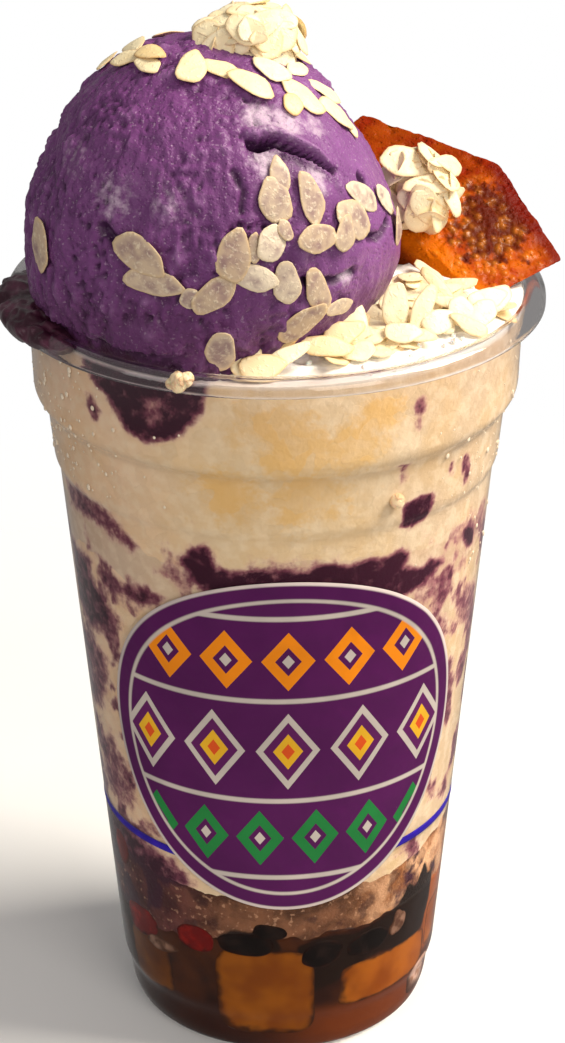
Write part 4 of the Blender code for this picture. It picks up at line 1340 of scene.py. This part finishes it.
def makeClump(name, node, values):
    centre, half = Vector(values["centre"]), Vector(values["half"])
    pick = random.Random(values["seed"])
    lean = Vector(values["lean"]).normalized()
    ways, faces = cubeBall(20)
    core = np.array(centre) + ways * np.array(half) * (0.74 + 0.1 * roughness(ways * 8, 3.0, 2))[:, None]
    mesh = fromLists(name + "_core", core, faces)
    paint(mesh, "tint", np.full(len(mesh.vertices), 0.45))
    paint(mesh, "rim", np.full(len(mesh.vertices), 0.5))
    dress(newObject(name + "_core", mesh, brightFlake), "rice_flake")
    flakes = FlakeBin(values["seed"] + 20)
    for _ in range(values["count"]):
        way = Vector([pick.gauss(0, 1) for _ in range(3)]).normalized()
        way = (way + lean * 0.55).normalized()
        where = centre + Vector([w * h for w, h in zip(way, half)]) * pick.uniform(0.68, 0.96)
        flat = (way + lean * 0.7 + Vector([pick.uniform(-1, 1) * values["tumble"] for _ in range(3)])).normalized()
        flakes.add(where, flat, pick.uniform(0, 360), pick.uniform(*values["length"]),
                   pick.uniform(*values["width"]), pick.uniform(-0.1, 0.25), pick.uniform(0, 0.6) ** 1.5)
    dress(flakes.build(name, brightFlake), "rice_flake", node)


makeScoopFlakes()
makeClump("top_clump", "flake_clump_top", clumps["top"])
makeClump("flan_clump", "flake_clump_flan", clumps["flan"])

heap = {
    "arc": (16, 112),
    "front": (24, 37.5),  # from and to what radius flakes lie in front, where the cream stays bare beyond them
    "side": (26, 42.5),
    "sideTurn": 62,
    "clear": 0.2,  # room kept free beside the flan, as a share of its front face
    "count": 120,
    "seed": 14,
    # turn, radius, height of the middle, heading, length, width, tilt towards the front, tint
    "placed": [(25, 31.5, 152.8, 20, 6.4, 5.4, 55, 0.1), (39, 33, 154.2, 4, 9.2, 4.9, 74, 0.05),
               (46, 35.6, 153.8, 34, 9.6, 3.6, 62, 0.25), (61, 33.0, 154.2, -34, 10, 2.4, 60, 0.5),
               (57, 36.8, 152.6, -62, 7.4, 2.6, 50, 0.3), (55, 39.4, 152.4, 12, 5.6, 5, 55, 0.05),
               (64, 41.4, 152.8, 82, 8.4, 4.2, 45, 0.1), (66, 42.4, 152.6, 70, 8, 4.6, 40, 0.15),
               (59, 42.2, 151.6, 60, 7, 4.4, 45, 0.1), (53, 42, 150.8, -50, 7.6, 3, 45, 0.45),
               (36, 37.4, 151.4, 95, 7, 4, 40, 0.2), (14, 36.6, 151.0, 98, 9.6, 4, 42, 0.55),
               (20, 34.4, 152.2, 70, 8, 4.4, 50, 0.5), (0, 36.2, 152.6, 70, 8.8, 4.6, 55, 0.95),
               (3, 39.2, 151.0, 64, 8.6, 3.0, 48, 0.0), (-3, 41.4, 149.8, 84, 8.4, 4.8, 42, 0.5),
               (-7, 40.2, 150.2, 40, 6.4, 4.8, 50, 0.3), (48, 38.2, 151.6, 75, 6.4, 4.4, 50, 0.05)],
}


def underFlan(x, y):
    # whether a place on the ice lies under the flan's front face
    (wideX, wideY, _), (tallX, tallY, _) = flan["wide"], flan["tall"]
    x, y = x - flan["corner"][0], y - flan["corner"][1]
    area = wideX * tallY - wideY * tallX
    return min((x * tallY - y * tallX) / area, (y * wideX - x * wideY) / area) > -heap["clear"]


def makeHeap():
    iceTree = surfaceTree(bpy.data.objects["upper_milk_ice"])
    pick = random.Random(heap["seed"])
    flakes = FlakeBin(31)
    for _ in range(heap["count"]):
        turn = pick.uniform(*heap["arc"])
        radius = pick.uniform(*heap["side" if turn > heap["sideTurn"] else "front"])
        where, normal = castOn(iceTree, aim(turn) * radius + Vector((0, 0, 175)), (0, 0, -1))
        if underFlan(where.x, where.y):
            continue
        lift = pick.uniform(0.2, 0.9) + 1.6 * math.exp(-(((radius - 31) / 5) ** 2)) * pick.random()
        tilt = Vector([pick.uniform(-0.4, 0.4), pick.uniform(-0.5, 0.2), 0])
        flat = (normal * 0.5 + Vector((0, 0, 0.6)) + tilt).normalized()
        flakes.add(where + Vector((0, 0, lift)), flat, pick.uniform(0, 360), pick.uniform(6, 10),
                   pick.uniform(3.8, 5.6), pick.uniform(-0.1, 0.2), pick.uniform(0, 0.7) ** 1.6)
    for turn, radius, height, heading, length, width, tilt, tint in heap["placed"]:
        lean = math.radians(tilt)
        flat = (Vector((0, 0, math.cos(lean))) + aim(turn * 0.4) * math.sin(lean)).normalized()
        flakes.add(aim(turn) * radius + Vector((0, 0, height)), flat, heading, length, width, 0.1, tint)
    dress(flakes.build("heap_flakes", brightFlake), "rice_flake", "flake_heap_side")


makeHeap()
print("flakes done")


# crushed ice lying on the cream, crumbs, droplets on the wall

loose = {
    "iceCount": 190,
    "iceSize": (0.35, 0.85),
    "dropletCount": 190,
    "seed": 77,
    # turn, radius, height and size of the crumbs on the lip and on the wall
    "crumbs": [(-19.2, 49.6, 149.3, 1.8), (-17.8, 49.3, 149.8, 1.4), (-20.4, 49.4, 148.8, 1.2)],
    "bead": (30.2, 122.1, 1.4),
}


def addChip(bm, where, size, seed, jagged=0.45):
    ball = bmesh.ops.create_icosphere(bm, subdivisions=3, radius=1)["verts"]
    pick = random.Random(seed)
    stretch = Vector([pick.uniform(1 - jagged * 0.9, 1 + jagged * 0.5) for _ in range(3)])
    turn = Matrix.Rotation(pick.uniform(0, 6.3), 3, Vector((pick.random(), pick.random(), 1)).normalized())
    for vert in ball:
        way = vert.co.copy()
        rough = 1 + jagged * noise.noise(way * 1.4 + Vector((seed * 1.3, 0, seed)))
        vert.co = (Vector(where) + turn @ Vector([w * s for w, s in zip(way, stretch)]) * size * rough) * mm


def chipMaterial():
    material, tree, shader = newMaterial("iceChip", Roughness=0.25, IOR=1.31, Subsurface_Weight=0.4,
                                         Subsurface_Scale=1.0 * mm)
    clouds = use(tree, "patches", Size=2.0, Detail=3.0, Low=0.35, High=0.7)
    tree.links.new(mixColours(tree, clouds["Mask"], tone(255, 254, 250), tone(252, 244, 226)),
                   shader.inputs["Base Color"])
    bumped(tree, shader, clouds["Mask"], 0.3)
    return material


def makeChips():
    iceTree = surfaceTree(bpy.data.objects["upper_milk_ice"])
    pick = random.Random(loose["seed"])
    bm = bmesh.new()
    for place in range(loose["iceCount"]):
        turn = pick.uniform(-110, 250)
        radius = pick.uniform(30, 43.2)
        where, _ = castOn(iceTree, aim(turn) * radius + Vector((0, 0, 175)), (0, 0, -1))
        addChip(bm, where + Vector((0, 0, 0.1)), pick.uniform(*loose["iceSize"]), place)
    mesh = bpy.data.meshes.new("ice_chips")
    bm.to_mesh(mesh)
    bm.free()
    dress(newObject("ice_chips", mesh, chipMaterial()), "milk_ice")


def makeCrumbs():
    bm = bmesh.new()
    for place, (turn, radius, height, size) in enumerate(loose["crumbs"]):
        addChip(bm, aim(turn) * radius + Vector((0, 0, height)), size, place + 900, 0.2)
    turn, height, size = loose["bead"]
    addChip(bm, aim(turn) * (float(wallRadius(height)) + 0.2) + Vector((0, 0, height)), size, 5, 0.05)
    mesh = bpy.data.meshes.new("rim_crumbs")
    bm.to_mesh(mesh)
    bm.free()
    material, tree, shader = newMaterial("crumb", Roughness=0.5, Subsurface_Weight=0.3, Subsurface_Scale=1 * mm)
    clouds = use(tree, "patches", Size=1.5, Detail=3.0, Low=0.4, High=0.65)
    tree.links.new(mixColours(tree, clouds["Mask"], tone(250, 224, 182), tone(226, 184, 142)),
                   shader.inputs["Base Color"])
    bumped(tree, shader, clouds["Mask"], 0.3)
    dress(newObject("rim_crumbs", mesh, material), "rice_flake")


def makeDroplets():
    pick = random.Random(loose["seed"] + 1)
    bm = bmesh.new()
    for _ in range(loose["dropletCount"]):
        left = pick.random() < 0.62
        turn = pick.gauss(-62, 13) if left else pick.gauss(66, 12)
        height = pick.uniform(119, 144) if left else pick.uniform(100, 144)
        size = 0.18 + 0.42 * pick.random() ** 3
        radius = float(wallRadius(height))
        ball = bmesh.ops.create_icosphere(bm, subdivisions=2, radius=1)["verts"]
        out = aim(turn)
        side = Vector((0, 0, 1)).cross(out)
        for vert in ball:
            x, y, z = vert.co
            vert.co = (out * (radius + x * size * 0.42) + side * y * size + Vector((0, 0, height + z * size * 1.1))) * mm
    mesh = bpy.data.meshes.new("wall_droplets")
    bm.to_mesh(mesh)
    bm.free()
    # painted glints: the droplets are pale and opaque so that they show as bright specks
    material, tree, shader = newMaterial("dewGlint", Roughness=0.15, IOR=1.33)
    haze = use(tree, "patches", Size=0.6, Detail=1.0, Low=0.3, High=0.7)
    tree.links.new(mixColours(tree, haze["Mask"], tone(240, 226, 204), tone(226, 208, 184)),
                   shader.inputs["Base Color"])
    bumped(tree, shader, haze["Mask"], 0.05)
    dress(newObject("wall_droplets", mesh, material), "clear_plastic")


makeChips()
makeCrumbs()
makeDroplets()
print("loose bits done")


# floor, light and camera

studio = {
    "floor": tone(247, 247, 247),
    "floorShade": tone(242, 242, 242),
    "floorFade": (0.30, 0.06),  # radius where the floor has faded into the backdrop, and where that starts
    "surround": (1.0, 0.97, 0.94, 1.0),
    "surroundStrength": 0.26,
    # place in metres, size in metres, power in watts, colour
    "key": ((0.80, -0.02, 0.98), 0.6, 22.0, (1.0, 0.92, 0.80)),
    "front": ((0.55, -1.00, 0.50), 0.6, 4.8, (1.0, 0.93, 0.85)),
    "left": ((-0.8, -0.7, 0.7), 0.7, 3.1, (1.0, 0.95, 0.92)),
    "target": (0.0, 0.0, 0.11),
}


def addLight(name, place, size, power, colour):
    data = bpy.data.lights.new(name, "AREA")
    data.size = size
    data.energy = power
    data.color = colour
    item = bpy.data.objects.new(name, data)
    item.location = place
    item.rotation_euler = (Vector(studio["target"]) - Vector(place)).to_track_quat("-Z", "Y").to_euler()
    item.visible_transmission = False  # its light already passes the clear cup as shadow rays
    bpy.context.scene.collection.objects.link(item)


def makeStudio():
    bm = bmesh.new()
    bmesh.ops.create_grid(bm, x_segments=1, y_segments=1, size=3.0)
    mesh = bpy.data.meshes.new("floor")
    bm.to_mesh(mesh)
    bm.free()
    material, tree, shader = newMaterial("paleFloor", Roughness=0.8)
    shade = use(tree, "patches", Size=60.0, Detail=2.0, Low=0.2, High=0.8)
    tree.links.new(mixColours(tree, shade["Mask"], studio["floor"], studio["floorShade"]),
                   shader.inputs["Base Color"])
    place = put(tree, "ShaderNodeTexCoord").outputs["Object"]
    away = put(tree, "ShaderNodeVectorMath", {0: place}, operation="LENGTH").outputs["Value"]
    tree.links.new(ramp(tree, away, *studio["floorFade"]), shader.inputs["Alpha"])
    floor = newObject("floor", mesh, material)
    floor.location.z = -0.05 * mm
    floor.visible_glossy = False  # keeps the white floor out of the cup's dark lower wall
    world = bpy.data.worlds.new("studio")
    bpy.context.scene.world = world
    world.use_nodes = True
    tree = world.node_tree
    backdrop = tree.nodes["Background"]
    backdrop.inputs["Color"].default_value = studio["surround"]
    backdrop.inputs["Strength"].default_value = studio["surroundStrength"]
    white = put(tree, "ShaderNodeBackground", {"Color": (1, 1, 1, 1), "Strength": 1.0})
    path = put(tree, "ShaderNodeLightPath")
    swap = put(tree, "ShaderNodeMixShader", {0: path.outputs["Is Camera Ray"], 1: backdrop.outputs[0],
                                             2: white.outputs[0]})
    tree.links.new(swap.outputs[0], tree.nodes["World Output"].inputs["Surface"])
    for name in ("key", "front", "left"):
        addLight(name, *studio[name])
    bpy.context.scene.view_settings.view_transform = "Standard"


view = {"place": (0.0, -0.500, 0.3405), "down": 0.4469, "turn": -0.0035, "roll": 0.0027, "lens": 101.37}


def makeCamera():
    data = bpy.data.cameras.new("camera")
    data.lens = view["lens"]
    data.sensor_width = 36
    item = bpy.data.objects.new("camera", data)
    item.location = view["place"]
    item.rotation_euler = (math.pi / 2 - view["down"], view["roll"], view["turn"])
    bpy.context.scene.collection.objects.link(item)
    bpy.context.scene.camera = item


makeStudio()
makeCamera()
